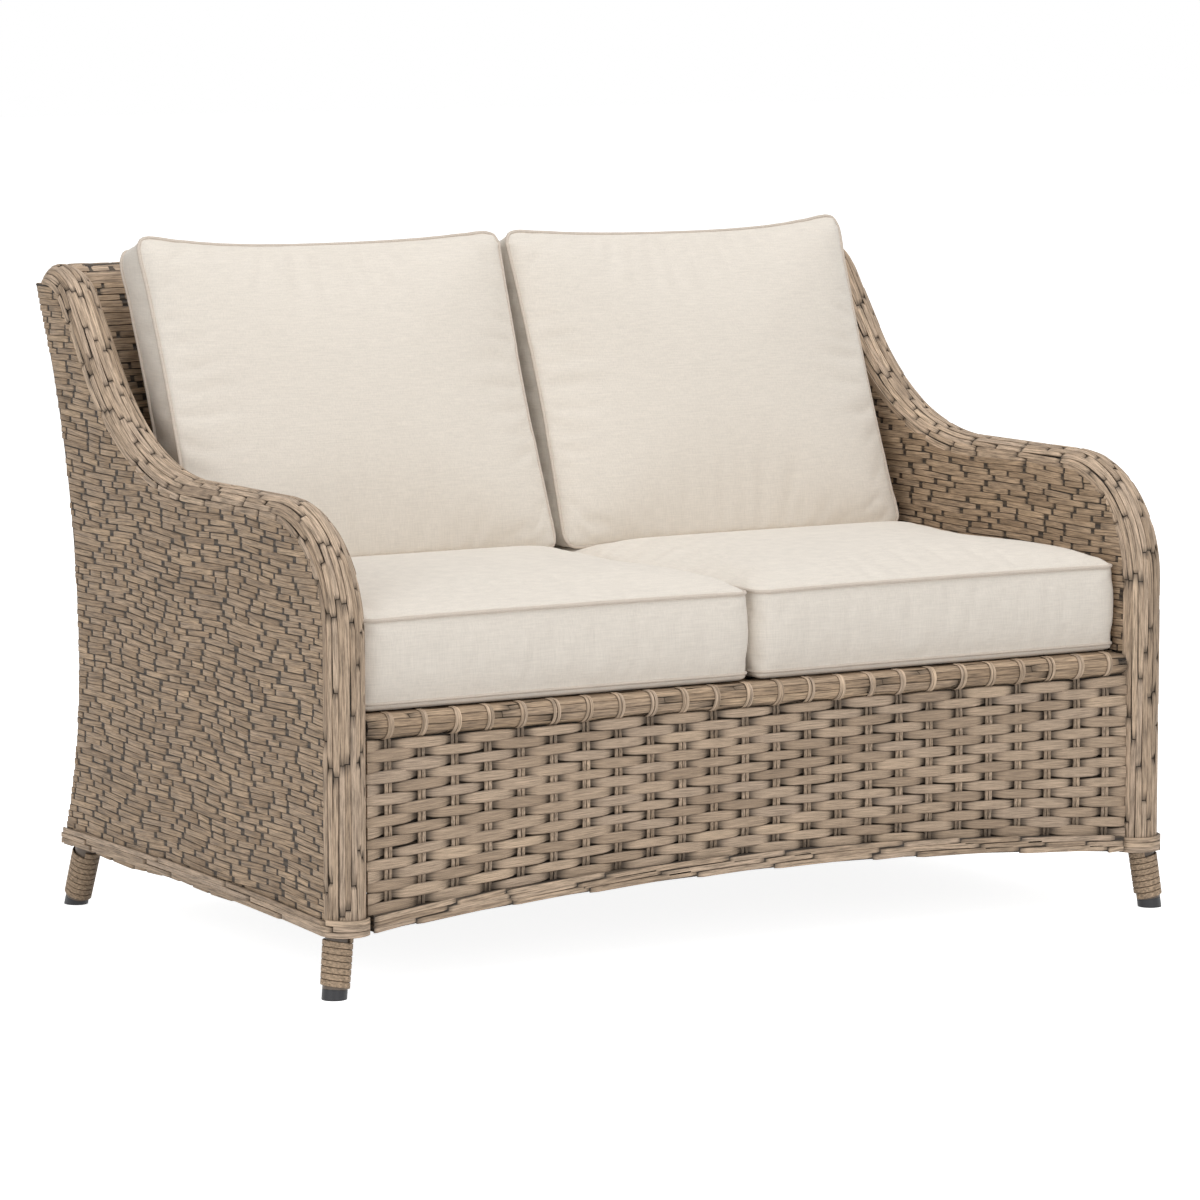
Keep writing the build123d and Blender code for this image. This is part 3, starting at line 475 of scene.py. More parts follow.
def arm_surface(side):
    """Half-round over an arm: along its crown, across it, and over it."""
    def place(along, across, over):
        y, z, turn = path_at(crown_path, along)
        angle = across / arm_radius
        lift = (arm_radius + over) * np.cos(angle) - arm_radius
        return np.stack([side * (arm_middle_x + (arm_radius + over) * np.sin(angle)),
                         y + lift * np.cos(turn + pi / 2), z + lift * np.sin(turn + pi / 2)], axis=1)
    return place


def wall_surface(x, outwards):
    """Upright wall of an arm: along the depth, across the height, over it to one side."""
    return lambda along, across, over: np.stack([x + outwards * over, along, across], axis=1)


def rear_face_y(z):
    """Where the rear outline stands at a height."""
    radius = np.where(z > waist_z, upper_rear_radius, lower_rear_radius)
    return waist_y + radius - np.sqrt(radius ** 2 - (z - waist_z) ** 2)


def rear_surface(along, across, over):
    """Rear of the back: along the width, across the height."""
    return np.stack([along, rear_face_y(across) + over, across], axis=1)


def inner_back_y(z):
    """Where the inner back stands at a height."""
    return seat_back_y + np.maximum(z - back_bend_z, 0) * tan(back_recline)


def inner_back_surface(along, across, over):
    """Inner face of the back: along the width, across the height."""
    return np.stack([along, inner_back_y(across) - over, across], axis=1)


def deck_surface(along, across, over):
    """Seat deck: along the width, across the depth."""
    return np.stack([along, across, seat_top_z + over], axis=1)


def arch_z(x, height=0.0):
    """Height of the apron's arched lower edge, or of a line that far above it."""
    inside = np.minimum(np.abs(x), apron_half_width)
    return arch_end_z + arch_rise - arch_radius + np.sqrt(arch_radius ** 2 - inside ** 2) + height


def stake_x(stake):
    """Middle of a stake, counted from the left."""
    return stake_pitch * (stake - (stake_count - 1) / 2)


def apron_surface(along, across, over):
    """Apron: along its width, across as a share of the way up from the rim, over it to the front."""
    foot = arch_z(along, rim_height * 0.95)
    return np.stack([along, apron_middle_y - over, foot + across * (apron_top_z - foot)], axis=1)


def lane_middles(girth, count):
    """Middles of even lanes across a girth."""
    return [girth * ((lane + 0.5) / count - 0.5) for lane in range(count)]


def even_rows(low, high, course):
    """Rows of about a course each that fill a height exactly."""
    count = int((high - low) / course)
    height = (high - low) / count
    return [(low + height * (row + 0.5), height) for row in range(count)]


def fill_lane(start, low, high, least, draw_run, draw_place):
    """Lays strands end to end, cut at the lane's ends, and gives the places of those above a length.

    A run is drawn for where it starts, and a place for the strand's middle and its cut length."""
    places = []
    at = start
    while at < high:
        run = draw_run(at)
        first, last = max(at, low), min(at + run, high)
        if last - first > least:
            places.append(draw_place((first + last) / 2, last - first))
        at += run
    return places


def fill_rows(rows, spans, length, gap, thickness, seed, step, wave=0.0, tilt=0.0):
    """Fills rows with strands end to end, each row set off from the one before."""
    chooser = np.random.default_rng(seed)
    places = []
    for index, (across, height) in enumerate(rows):
        def draw_place(middle, span):
            phase = wave_along * middle + wave_across * across
            return (middle, across + wave * sin(phase) + chooser.uniform(-0.0006, 0.0006),
                    chooser.uniform(-0.0005, 0.0006), span - gap, height * chooser.uniform(0.94, 1.08),
                    thickness, wave * cos(phase) * wave_along * span + tilt
                    + chooser.uniform(-0.0015, 0.0015))

        for low, high in spans(across):
            start = low - (index * step) % length - length * chooser.uniform(0, 0.5)
            places += fill_lane(start, low, high, gap + 0.004,
                                lambda at: length * chooser.choice(run_shares, p=run_chances), draw_place)
    return places


def across_seat(beyond=0.0):
    """Gives every row the width between the arms, and a bit beyond at each end."""
    return lambda row: [(-apron_half_width - beyond, apron_half_width + beyond)]


class LoveseatFinish(bpy.types.PropertyGroup):
    """Colours of the loveseat."""

    cushion_colour: bpy.props.FloatVectorProperty(
        name="Cushion", description="Colour of the cushion cloth", subtype="COLOR", size=3,
        min=0, max=1, default=linear("#e3dbd0")[:3])
    piping_colour: bpy.props.FloatVectorProperty(
        name="Piping", description="Colour of the piping along the cushions' seams", subtype="COLOR",
        size=3, min=0, max=1, default=linear("#d0c4b7")[:3])
    strand_colour: bpy.props.FloatVectorProperty(
        name="Strand", description="Middle colour of the strands of the caps, the apron and the rims",
        subtype="COLOR", size=3, min=0, max=1, default=linear("#bda68f")[:3])
    # A darker copy of the strand colour: painted shade on the walls, the band and the legs
    shaded_wall_colour: bpy.props.FloatVectorProperty(
        name="Wall strand", description="Middle colour of the strands of the walls, the band and the legs",
        subtype="COLOR", size=3, min=0, max=1, default=linear("#ad957c")[:3])


class LoveseatSizes(bpy.types.PropertyGroup):
    """Sizes of the loveseat's strands and seams."""

    course: bpy.props.FloatProperty(
        name="Course", description="Height of one course of the arm's weave",
        unit="LENGTH", default=0.0087, min=0.006, max=0.014)
    strand_run: bpy.props.FloatProperty(
        name="Strand", description="Length of a strand between two ties",
        unit="LENGTH", default=0.056, min=0.03, max=0.12)
    strand_thickness: bpy.props.FloatProperty(
        name="Thickness", description="Thickness of a strand",
        unit="LENGTH", default=0.0029, min=0.002, max=0.005)
    piping_radius: bpy.props.FloatProperty(
        name="Piping", description="Radius of the piping along the cushions' seams",
        unit="LENGTH", default=0.0028, min=0.0015, max=0.005)
    wrap_pitch: bpy.props.FloatProperty(
        name="Wrap pitch", description="Height of one turn of the strand round a leg",
        unit="LENGTH", default=0.0086, min=0.006, max=0.015)


class LOVESEAT_OT_arm_walls(bpy.types.Operator):
    """Weaves the outer and inner walls of both arms"""

    bl_idname = "loveseat.arm_walls"
    bl_label = "Weave the arm walls"

    def execute(self, context):
        sizes = context.scene.loveseat_sizes
        strand = short_strand()
        course = sizes.course

        # A row runs on until its lower edge meets the cap, so no gap opens under the cap
        def spans_to(rear_line, beyond):
            def spans(z):
                front = wall_front_y(z - course * 0.4)
                rear = float(rear_line(z))
                return [(front - 0.004, rear + beyond)] if rear - front > 0.01 else []
            return spans

        outer_rows = even_rows(side_rim_front_z + rim_height * 0.5 - course / 2, cap_seat_z, course)
        broad = course * 1.04
        inner_rows = [(seat_top_z + broad * (row + 0.5), broad)
                      for row in range(int((back_top_z - panel_inset - seat_top_z) / broad))]
        for side, word in sides:
            places = fill_rows(outer_rows, spans_to(rear_face_y, beyond=0.002), sizes.strand_run,
                               gap=0.0022, thickness=sizes.strand_thickness, seed=10 + side,
                               step=0.0195, wave=0.0020, tilt=0.0008)
            lay_strands(f"{word}_outer_weave", strand, places, wall_surface(side * outer_face_x, side),
                        "shaded_resin_strand", seed=20 + side)
            places = fill_rows(inner_rows, spans_to(inner_back_y, beyond=0), length=0.074, gap=0.0013,
                               thickness=sizes.strand_thickness, seed=30 + side, step=0.031, wave=0.001)
            lay_strands(f"{word}_inner_weave", strand, places, wall_surface(side * inner_face_x, -side),
                        "shaded_resin_strand", seed=40 + side)
        return {"FINISHED"}


class LOVESEAT_OT_back(bpy.types.Operator):
    """Weaves the rear and the inner face of the back, and the deck"""

    bl_idname = "loveseat.back"
    bl_label = "Weave the back and the deck"

    def execute(self, context):
        sizes = context.scene.loveseat_sizes
        strand = short_strand()
        course = sizes.course
        half = outer_face_x - 0.001
        rows = even_rows(rear_base_z + 0.012 - course / 2, cap_seat_z, course)
        places = fill_rows(rows, lambda z: [(-half, half)], sizes.strand_run, gap=0.0014,
                           thickness=sizes.strand_thickness, seed=51, step=0.0195, wave=0.0014,
                           tilt=0.0008)
        lay_strands("back_outer_weave", strand, places, rear_surface, "shaded_resin_strand", seed=52)
        rows = even_rows(seat_top_z, cap_seat_z + 0.002, course)
        places = fill_rows(rows, across_seat(), length=0.06, gap=0.0016,
                           thickness=sizes.strand_thickness, seed=53, step=0.031, wave=0.0008)
        lay_strands("back_inner_weave", strand, places, inner_back_surface,
                    "shaded_resin_strand", seed=54)
        deck_course = 0.012
        deck_strand = 0.0116
        deck_sink = 0.0016
        rows = [(deck_low[1] + deck_course * (row + 0.5), deck_strand)
                for row in range(int((deck_high[1] - deck_low[1]) / deck_course))]
        places = fill_rows(rows, across_seat(), length=0.11, gap=0.003, thickness=0.0024, seed=55,
                           step=0.055)
        # Laid just under the deck's top, so that the cushions lie on it
        places = [(*place[:2], place[2] - deck_sink, *place[3:]) for place in places]
        deck = lay_strands("seat_deck_weave", strand, places, deck_surface,
                           "shaded_resin_strand", seed=56)
        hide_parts("seat_deck")
        # A dark sheet under the deck's strands, as painted shade in the gaps between them
        places = [(0, y, -0.004, 2 * apron_half_width, height * 1.02, 0.0022, 0)
                  for y, height in even_rows(deck_low[1], deck_high[1], deck_course)]
        lay_strands("seat_deck_shade_core", long_strand(3), places, deck_surface, "dark_shade_resin_core", seed=57)
        return {"FINISHED"}


class LOVESEAT_OT_caps(bpy.types.Operator):
    """Lays the lengthwise strands of both arm caps"""

    bl_idname = "loveseat.caps"
    bl_label = "Lay the caps"

    def execute(self, context):
        strand = long_strand(12)
        crown_length = crown_path[2][-1]
        girth = pi * arm_radius
        lanes = lane_middles(girth, 11)
        core = model_strand(8, 299, flat=1)
        corner_low = crown_end_y - 0.004
        corner_high = float(rear_face_y(cap_seat_z)) + 0.002
        for side, word in sides:
            chooser = np.random.default_rng(60 + side)
            places = []
            for across in lanes:
                proud = 0.0013 if across in (lanes[0], lanes[-1]) else 0
                # Longer strands on the post than over the arm
                places += fill_lane(
                    -0.15 * chooser.random(), 0, crown_length, 0.012,
                    lambda at: chooser.uniform(*((0.09, 0.24) if at < post_run else (0.05, 0.13))),
                    lambda middle, span: (
                        middle, across + chooser.uniform(-0.0009, 0.0009),
                        proud + chooser.uniform(-0.0020, -0.0009), span - 0.0014,
                        girth / len(lanes) * chooser.uniform(1.0, 1.16), 0.0034,
                        chooser.uniform(-0.0024, 0.0024)))
            cap = lay_strands(f"{word}_arm_cap_weave", strand, places, arm_surface(side),
                              "driftwood_resin_strand", seed=70 + side)
            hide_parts(f"{word}_arm_cap")
            # A dark sheet under the cap's strands, as painted shade in the gaps between them
            places = [(crown_length / 2, girth * share, -0.0048, crown_length, girth / 5, 0.004, 0)
                      for share in (-0.4, -0.2, 0, 0.2, 0.4)]
            lay_strands(f"{word}_arm_cap_shade_core", core, places, arm_surface(side), "dark_shade_resin_core",
                        seed=80 + side)

            # Strands laid level over the post's square corner, under the cap's rounded end
            def corner_surface(along, across, over):
                return np.stack([side * (arm_middle_x + across), along, cap_seat_z + over], axis=1)

            places = [((corner_low + corner_high) / 2, arm_radius * share, 0.0002,
                       corner_high - corner_low, 0.0072, 0.003, 0)
                      for share in (-0.88, -0.66, -0.44, -0.22, 0, 0.22, 0.44, 0.66, 0.88)]
            lay_strands(f"{word}_post_corner_weave", short_strand(), places, corner_surface,
                        "shaded_resin_strand", seed=84 + side)
        return {"FINISHED"}


class LOVESEAT_OT_back_cap(bpy.types.Operator):
    """Weaves the rounded cap along the top of the back"""

    bl_idname = "loveseat.back_cap"
    bl_label = "Weave the back's cap"

    def execute(self, context):
        radius = (back_cap_high[1] - back_cap_low[1]) / 2
        middle_y = (back_cap_high[1] + back_cap_low[1]) / 2
        middle_z = back_cap_high[2] - radius

        def surface(along, across, over):
            angle = across / radius
            return np.stack([along, middle_y + (radius + over) * np.sin(angle),
                             middle_z + (radius + over) * np.cos(angle)], axis=1)

        girth = pi * radius
        row_count = 9
        rows = [(across, girth / row_count * 1.05) for across in lane_middles(girth, row_count)]
        places = fill_rows(rows, across_seat(beyond=0.02), length=0.05, gap=0.0022,
                           thickness=context.scene.loveseat_sizes.strand_thickness, seed=91, step=0.018)
        lay_strands("back_cap_weave", short_strand(), places, surface, "driftwood_resin_strand", seed=92)
        return {"FINISHED"}


class LOVESEAT_OT_apron(bpy.types.Operator):
    """Weaves the front apron: wefts over and under paired stakes"""

    bl_idname = "loveseat.apron"
    bl_label = "Weave the apron"

    def execute(self, context):
        chooser = np.random.default_rng(101)
        places = []
        for course in range(weft_count):
            for stake in range(-1, stake_count + 1):
                if (stake + course) % 2:
                    continue
                middle = stake_x(stake) + chooser.uniform(-0.0015, 0.0015)
                if abs(middle) - stake_pitch > apron_half_width - 0.01:
                    continue
                places.append((middle, (course + 0.5) / weft_count + chooser.uniform(-0.004, 0.004),
                               weft_swing + chooser.uniform(-0.0004, 0.0004), 2 * stake_pitch,
                               1.1 / weft_count * chooser.uniform(0.86, 1.1), 0.0036,
                               chooser.uniform(-0.011, 0.011)))

        def within(along, across, over):
            return apron_surface(np.clip(along, -apron_half_width, apron_half_width), across, over)

        # The wefts' painted shade runs deep, to 1.9 thicknesses, as they dive behind the stakes
        weave = lay_strands("apron_weft_weave", weft_strand(), places, within,
                            "driftwood_resin_strand", seed=102, sink=1.9)
        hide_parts("apron_wefts")
        places = []
        for stake in range(stake_count):
            for side in (-1, 1):
                places.append((0.5, stake_x(stake) + side * 0.0032, chooser.uniform(-0.0002, 0.0002),
                               1, 0.0058, 0.0032, chooser.uniform(-0.0004, 0.0004)))

        def upright(along, across, over):
            return apron_surface(across, along, over)

        stakes = lay_strands("apron_stake_weave", long_strand(3), places, upright,
                             "driftwood_resin_strand", seed=103)
        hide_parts("apron_stakes")
        # A dark sheet behind the wefts and stakes, as painted shade in the gaps between them
        places = [(0, (course + 0.5) / weft_count, -0.0076, 2 * apron_half_width, 1.0 / weft_count, 0.0018, 0)
                  for course in range(weft_count)]
        lay_strands("apron_shade_core", long_strand(47), places, within, "dark_shade_resin_core", seed=104)
        return {"FINISHED"}


class LOVESEAT_OT_band(bpy.types.Operator):
    """Lays the rounded band along the seat's front edge and lashes it at every stake"""

    bl_idname = "loveseat.band"
    bl_label = "Lay the seat band"

    def execute(self, context):
        chooser = np.random.default_rng(111)
        radius = (band_high[2] - band_low[2]) / 2
        flat = band_high[1] - band_low[1] - radius
        path = walk((band_high[1], band_low[2]), pi, [(flat, 0), (pi * radius, -pi), (flat, 0)], 0.002)
        girth = path[2][-1]

        def surface(along, across, over):
            y, z, turn = path_at(path, across + girth / 2)
            return np.stack([along, y + over * np.cos(turn + pi / 2), z + over * np.sin(turn + pi / 2)],
                            axis=1)

        lanes = lane_middles(girth, 8)
        places = []
        for across in lanes:
            places += fill_lane(
                -apron_half_width - chooser.uniform(0, 0.1), -apron_half_width, apron_half_width, 0.02,
                lambda at: stake_pitch * chooser.integers(3, 8),
                lambda middle, span: (
                    middle, across, chooser.uniform(-0.0016, -0.001), span - 0.001,
                    girth / len(lanes) * chooser.uniform(1, 1.1), 0.003, chooser.uniform(-0.001, 0.001)))
        band = lay_strands("seat_band_weave", long_strand(8), places, surface,
                           "shaded_resin_strand", seed=112)
        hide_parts("front_rail_band")
        # A dark sheet under the band's strands, as painted shade in the gaps between them
        core_lanes = 12
        places = [(0, across, -0.0038, 2 * apron_half_width, girth / core_lanes * 1.05, 0.0025, 0)
                  for across in lane_middles(girth, core_lanes)]
        lay_strands("seat_band_shade_core", long_strand(3), places, surface, "dark_shade_resin_core", seed=114)

        def wrapped(along, across, over):
            return surface(across + 0.10 * along, along, over)

        places = []
        for stake in range(stake_count):
            for side in (-1, 1):
                lean = chooser.uniform(-0.003, 0.006)
                places.append((-0.002, stake_x(stake) + side * 0.0027 + chooser.uniform(-0.001, 0.001),
                               0.0006, girth * 0.94, 0.0052, 0.0022, lean))
        lay_strands("seat_band_lashings", long_strand(23), places, wrapped,
                    "driftwood_resin_strand", seed=113)
        return {"FINISHED"}


class LOVESEAT_OT_rims(bpy.types.Operator):
    """Lays the strands of the base rims, round the feet of the front posts"""

    bl_idname = "loveseat.rims"
    bl_label = "Lay the base rims"

    def execute(self, context):
        chooser = np.random.default_rng(121)
        front_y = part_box("front_base_rim")[0][1]
        strand = long_strand(14)
        fine_strand = long_strand(40)

        def lay_lanes(low, high, runs, thickness, over, slant):
            places = []
            for across in lane_middles(rim_height, rim_strands):
                places += fill_lane(
                    low - chooser.uniform(0, runs[0]), low, high, 0.015, lambda at: chooser.uniform(*runs),
                    lambda middle, span: (
                        middle, across, over, span - 0.001,
                        rim_height / rim_strands * chooser.uniform(1.06, 1.16), thickness,
                        slant * chooser.uniform(0.5, 1)))
            return places

        def front_surface(along, across, over):
            return np.stack([along, front_y - over, arch_z(along, rim_height / 2) + across], axis=1)

        half = inner_face_x - rim_proud
        places = lay_lanes(-half, half, runs=(0.07, 0.2), thickness=0.0034, over=0.0006, slant=0.0045)
        lay_strands("front_rim_weave", strand, places, front_surface, "driftwood_resin_strand", seed=122)
        outer = arm_radius + rim_proud
        post_middle_y = post_front_y + arm_radius
        side_run = float(rear_face_y(side_rim_rear_z)) - post_middle_y
        path = walk((arm_middle_x - outer, post_middle_y), -pi / 2, [(outer * pi, pi), (side_run, 0)], 0.003)
        middle_rise = side_rim_middle_z - (side_rim_front_z + side_rim_rear_z) / 2

        def side_surface(side):
            def place(along, across, over):
                x, y, turn = path_at(path, along)
                share = np.clip((y - post_middle_y) / side_run, 0, 1)
                z = (side_rim_front_z + (side_rim_rear_z - side_rim_front_z) * share
                     + middle_rise * 4 * share * (1 - share) + rim_height / 2)
                return np.stack([side * (x + over * np.cos(turn - pi / 2)),
                                 y + over * np.sin(turn - pi / 2), z + across], axis=1)
            return place

        for side, word in sides:
            places = lay_lanes(0, path[2][-1], runs=(0.18, 0.34), thickness=0.0058, over=-0.003,
                               slant=0.002)
            rim = lay_strands(f"{word}_rim_weave", fine_strand, places, side_surface(side),
                              "driftwood_resin_strand", seed=123 + side)
            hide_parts(f"{word}_base_rim")

        def rear_rim_surface(along, across, over):
            z = side_rim_rear_z + rim_height / 2 + across
            return np.stack([along, rear_face_y(z) + over, z], axis=1)

        half = outer_face_x + 0.004
        places = lay_lanes(-half, half, runs=(0.12, 0.3), thickness=0.0058, over=0.003, slant=0.002)
        rim = lay_strands("rear_rim_weave", strand, places, rear_rim_surface,
                          "driftwood_resin_strand", seed=126)
        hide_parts("rear_base_rim")
        return {"FINISHED"}


class LOVESEAT_OT_legs(bpy.types.Operator):
    """Winds a strand round each leg, from the glide up to the rim"""

    bl_idname = "loveseat.legs"
    bl_label = "Wind the legs"

    def execute(self, context):
        pitch = context.scene.loveseat_sizes.wrap_pitch
        for word, (foot, top, top_z, end_z) in legs.items():
            axis = Vector((top[0] - foot[0], top[1] - foot[1], top_z))
            axis.normalize()
            sideways = axis.cross(Vector((0, 1, 0))).normalized()
            forward = axis.cross(sideways).normalized()
            low = glide_height + 0.0004
            turns = (end_z - low - pitch) / pitch

            def helix(side):
                def place(along, across, over):
                    angle = along * 2 * pi
                    rise = low + pitch / 2 + along * pitch + across
                    reach = leg_radius + 0.0014 + over + 0.0006 * along / turns
                    x, y, z = [(*foot, 0.0)[way] + axis[way] * rise
                               + reach * (np.cos(angle) * sideways[way] + np.sin(angle) * forward[way])
                               for way in range(3)]
                    return np.stack([side * x, y, z], axis=1)
                return place

            strand = model_strand(6, int(turns * 20))
            for side, hand in sides:
                piece = lay_strands(f"{word}_{hand}_leg_winding", strand,
                                    [(turns / 2, 0, 0.0003, turns, pitch * 0.98, 0.0032, 0)], helix(side),
                                    "shaded_resin_strand", seed=131)
                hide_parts(f"{word}_leg_wraps")
        return {"FINISHED"}


class LOVESEAT_OT_frame_finish(bpy.types.Operator):
    """Gives the frame's tubes and the glides their finishes, and the cores of the woven walls a dark resin as
    painted shade
    """

    bl_idname = "loveseat.frame_finish"
    bl_label = "Finish the frame"

    def execute(self, context):
        woven = ("_panel", "_deck", "_cap", "_band", "_rim", "_stakes", "_wefts", "_wraps")
        for name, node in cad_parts.items():
            if name.endswith("_glides"):
                material = finish("moulded_black_nylon")
            # The CAD walls left under the strands turn dark: painted shade seen through the gaps
            elif name.endswith(woven):
                material = finish("dark_shade_resin_core")
            elif name.endswith("_cushion"):
                material = finish("linen_weave_acrylic")
            else:
                material = finish("powder_coated_aluminium")
            node.data.materials.clear()
            node.data.materials.append(material)
        return {"FINISHED"}


def rounded_outline(half_width, low, high, draw, step=0.008):
    """Points round a cushion's seam: rounded corners, and sides drawn in between them."""
    reach = np.array([half_width, (high - low) / 2]) - cushion_corner
    ways = np.array([(1, -1), (1, 1), (-1, 1), (-1, -1)])
    centres = np.array([0, (low + high) / 2]) + ways * reach
    points = []
    for number, centre in enumerate(centres):
        start = (number - 1) * pi / 2
        for angle in start + np.linspace(0, 1, 7) * pi / 2:
            points.append(centre + cushion_corner * np.array((cos(angle), sin(angle))))
        outwards = np.array((cos(start + pi / 2), sin(start + pi / 2)))
        first = points[-1]
        last = centres[(number + 1) % 4] + cushion_corner * outwards
        count = int(np.linalg.norm(last - first) / step)
        for share in np.arange(1, count) / count:
            pull = draw * (1 - (2 * share - 1) ** 2)
            points.append(first + (last - first) * share - pull * outwards)
    return np.array(points)


def seat_seam(side, z):
    """Points of a seat cushion's seam at a height."""
    outline = rounded_outline(seat_width / 2, seat_front_y, seat_rear_y, seat_draw)
    middle = side * (cushion_gap + seat_width / 2)
    return np.array([(middle + x, y, z) for x, y in outline])


def back_seam(side, depth):
    """Points of a back cushion's seam, a depth behind its front seam."""
    outline = rounded_outline(back_width / 2, 0, back_height, back_draw)
    middle = side * (cushion_gap + back_width / 2)
    lean_y, lean_z = back_lean
    return np.array([(middle + x, back_seam_y + up * lean_y + depth * lean_z,
                      back_seam_z + up * lean_z - depth * lean_y) for x, up in outline])


def vertex_places(piece):
    """Gives a piece's vertices as an array."""
    places = np.empty(len(piece.data.vertices) * 3)
    piece.data.vertices.foreach_get("co", places)
    return places.reshape(-1, 3)


def place_vertices(piece, places):
    """Moves a piece's vertices to the places of an array."""
    piece.data.vertices.foreach_set("co", places.ravel())
    piece.data.update()


def group_of(piece, name, chosen):
    """Makes a vertex group of the vertices chosen in an array of true and false."""
    group = piece.vertex_groups.new(name=name)
    group.add([int(index) for index in np.nonzero(chosen)[0]], 1, "REPLACE")


def apply_modifier(piece, kind, **settings):
    """Gives a piece a modifier with its settings and applies it."""
    make_active(piece)
    modifier = piece.modifiers.new(kind.lower(), kind)
    for name, value in settings.items():
        setattr(modifier, name, value)
    bpy.ops.object.modifier_apply(modifier=modifier.name)


def puff(piece, held, pressure, cap):
    """Swells a piece with cloth, some of its vertices held, and no vertex further than a cap."""
    group_of(piece, "seams", held)
    before = vertex_places(piece)
    make_active(piece)
    cloth = piece.modifiers.new("stuffing", "CLOTH")
    cloth.settings.quality = 4
    cloth.settings.use_pressure = True
    cloth.settings.uniform_pressure_force = pressure
    cloth.settings.shrink_min = -0.012
    cloth.settings.vertex_group_mass = "seams"
    cloth.settings.effector_weights.gravity = 0
    cloth.collision_settings.use_collision = False
    cloth.collision_settings.use_self_collision = False
    cloth.point_cache.frame_start = 1
    cloth.point_cache.frame_end = 20
    for number in range(1, 21):
        bpy.context.scene.frame_set(number)
    bpy.ops.object.modifier_apply(modifier=cloth.name)
    move = vertex_places(piece) - before
    length = np.maximum(np.linalg.norm(move, axis=1, keepdims=True), 1e-9)
    place_vertices(piece, before + move * cap * np.tanh(length / cap) / length)
    bpy.context.scene.frame_set(1)
    piece.vertex_groups.clear()


def stuff_cushion(name, node, seams, rest_z, crowned, shape, cap):
    """Stuffs one cushion: even faces, a soft crown, held seams, swelling and one subdivision."""
    piece = add_piece(name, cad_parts[node].data.copy())
    bpy.ops.object.mode_set(mode="EDIT")
    bpy.ops.mesh.select_all(action="SELECT")
    bpy.ops.mesh.remove_doubles(threshold=0.00005)
    bpy.ops.object.mode_set(mode="OBJECT")
    apply_modifier(piece, "REMESH", mode="VOXEL", voxel_size=cushion_voxel)
    apply_modifier(piece, "SMOOTH", iterations=5, factor=0.5)
    places = vertex_places(piece)
    held = places[:, 2] < rest_z + 0.003
    for spot in np.concatenate(seams):
        held |= np.linalg.norm(places - spot, axis=1) < 0.0062
    group_of(piece, "soft", crowned(places) & ~held)
    apply_modifier(piece, "SMOOTH", iterations=40, factor=0.5, vertex_group="soft")
    piece.vertex_groups.clear()
    place_vertices(piece, shape(vertex_places(piece)))
    puff(piece, held, 3.0, cap)
    apply_modifier(piece, "SMOOTH", iterations=2, factor=0.5)
    apply_modifier(piece, "SUBSURF", levels=1, render_levels=1)
    bpy.ops.object.shade_smooth()
    piece.data.materials.clear()
    piece.data.materials.append(finish("linen_weave_acrylic"))
    return piece


def add_piping(name, points, cushion, radius, body):
    """Runs piping along a closed line of points, drawn onto the cushion's surface."""
    tree = BVHTree.FromObject(cushion, bpy.context.evaluated_depsgraph_get())
    curve = bpy.data.curves.new(name, "CURVE")
    curve.dimensions = "3D"
    curve.bevel_depth = radius
    curve.bevel_resolution = 2
    spline = curve.splines.new("POLY")
    spline.points.add(len(points) - 1)
    for place, point in zip(spline.points, points):
        near, normal, _, _ = tree.find_nearest(Vector(point))
        place.co = (*(near + normal * radius * 0.35), 1)
    spline.use_cyclic_u = True
    add_piece(name, curve)
    bpy.ops.object.convert(target="MESH")
    piece = bpy.context.object
    bpy.ops.object.shade_smooth()
    piece.data.materials.clear()
    piece.data.materials.append(finish("linen_weave_piping"))
    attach(piece, body)


def seat_top(places):
    """Tells which points of a seat cushion lie on its crowned top."""
    return places[:, 2] > seat_top_seam_z + 0.002


def back_faces(places):
    """Tells which points of a back cushion lie on its crowned front or rear, off the boxing."""
    depth = (places[:, 1] - back_seam_y) * back_lean[1] - (places[:, 2] - back_seam_z) * back_lean[0]
    return (depth < -0.002) | (depth > back_boxing + 0.002)


def seat_shape(side):
    """Gives a function that swells a seat cushion's boxing and rounds it in below its lower seam."""
    def shape(places):
        middle = np.array([side * (cushion_gap + seat_width / 2), (seat_front_y + seat_rear_y) / 2])
        half = np.array([seat_width / 2, (seat_rear_y - seat_front_y) / 2])
        radius = seat_low_seam_z - seat_top_z
        drop = np.clip(seat_low_seam_z - places[:, 2], 0, radius)
        inset = radius - np.sqrt(radius ** 2 - drop ** 2) - seat_under_slope * drop / radius
        share = np.clip((places[:, 2] - seat_low_seam_z) / (seat_top_seam_z - seat_low_seam_z), 0, 1)
        bulge = np.outer(4 * share * (1 - share), seat_bulge)
        shaped = places.copy()
        shaped[:, :2] = middle + (places[:, :2] - middle) * (1 + (bulge - inset[:, None]) / half)
        return shaped
    return shape


def back_shape(side):
    """Gives a function that lifts a back cushion's upper corners over a drooping top edge."""
    def shape(places):
        up = (places[:, 1] - back_seam_y) * back_lean[0] + (places[:, 2] - back_seam_z) * back_lean[1]
        outwards = (side * places[:, 0] - cushion_gap) / back_width * 2 - 1
        ear = np.where(outwards > 0, back_outer_ear, back_inner_ear)
        lift = (ear + back_droop) * np.clip(np.abs(outwards), 0, 1) ** 3 - back_droop
        lift *= np.clip(up / back_height, 0, 1.1) ** 4
        shaped = places.copy()
        shaped[:, 1] += lift * back_lean[0]
        shaped[:, 2] += lift * back_lean[1]
        return shaped
    return shape


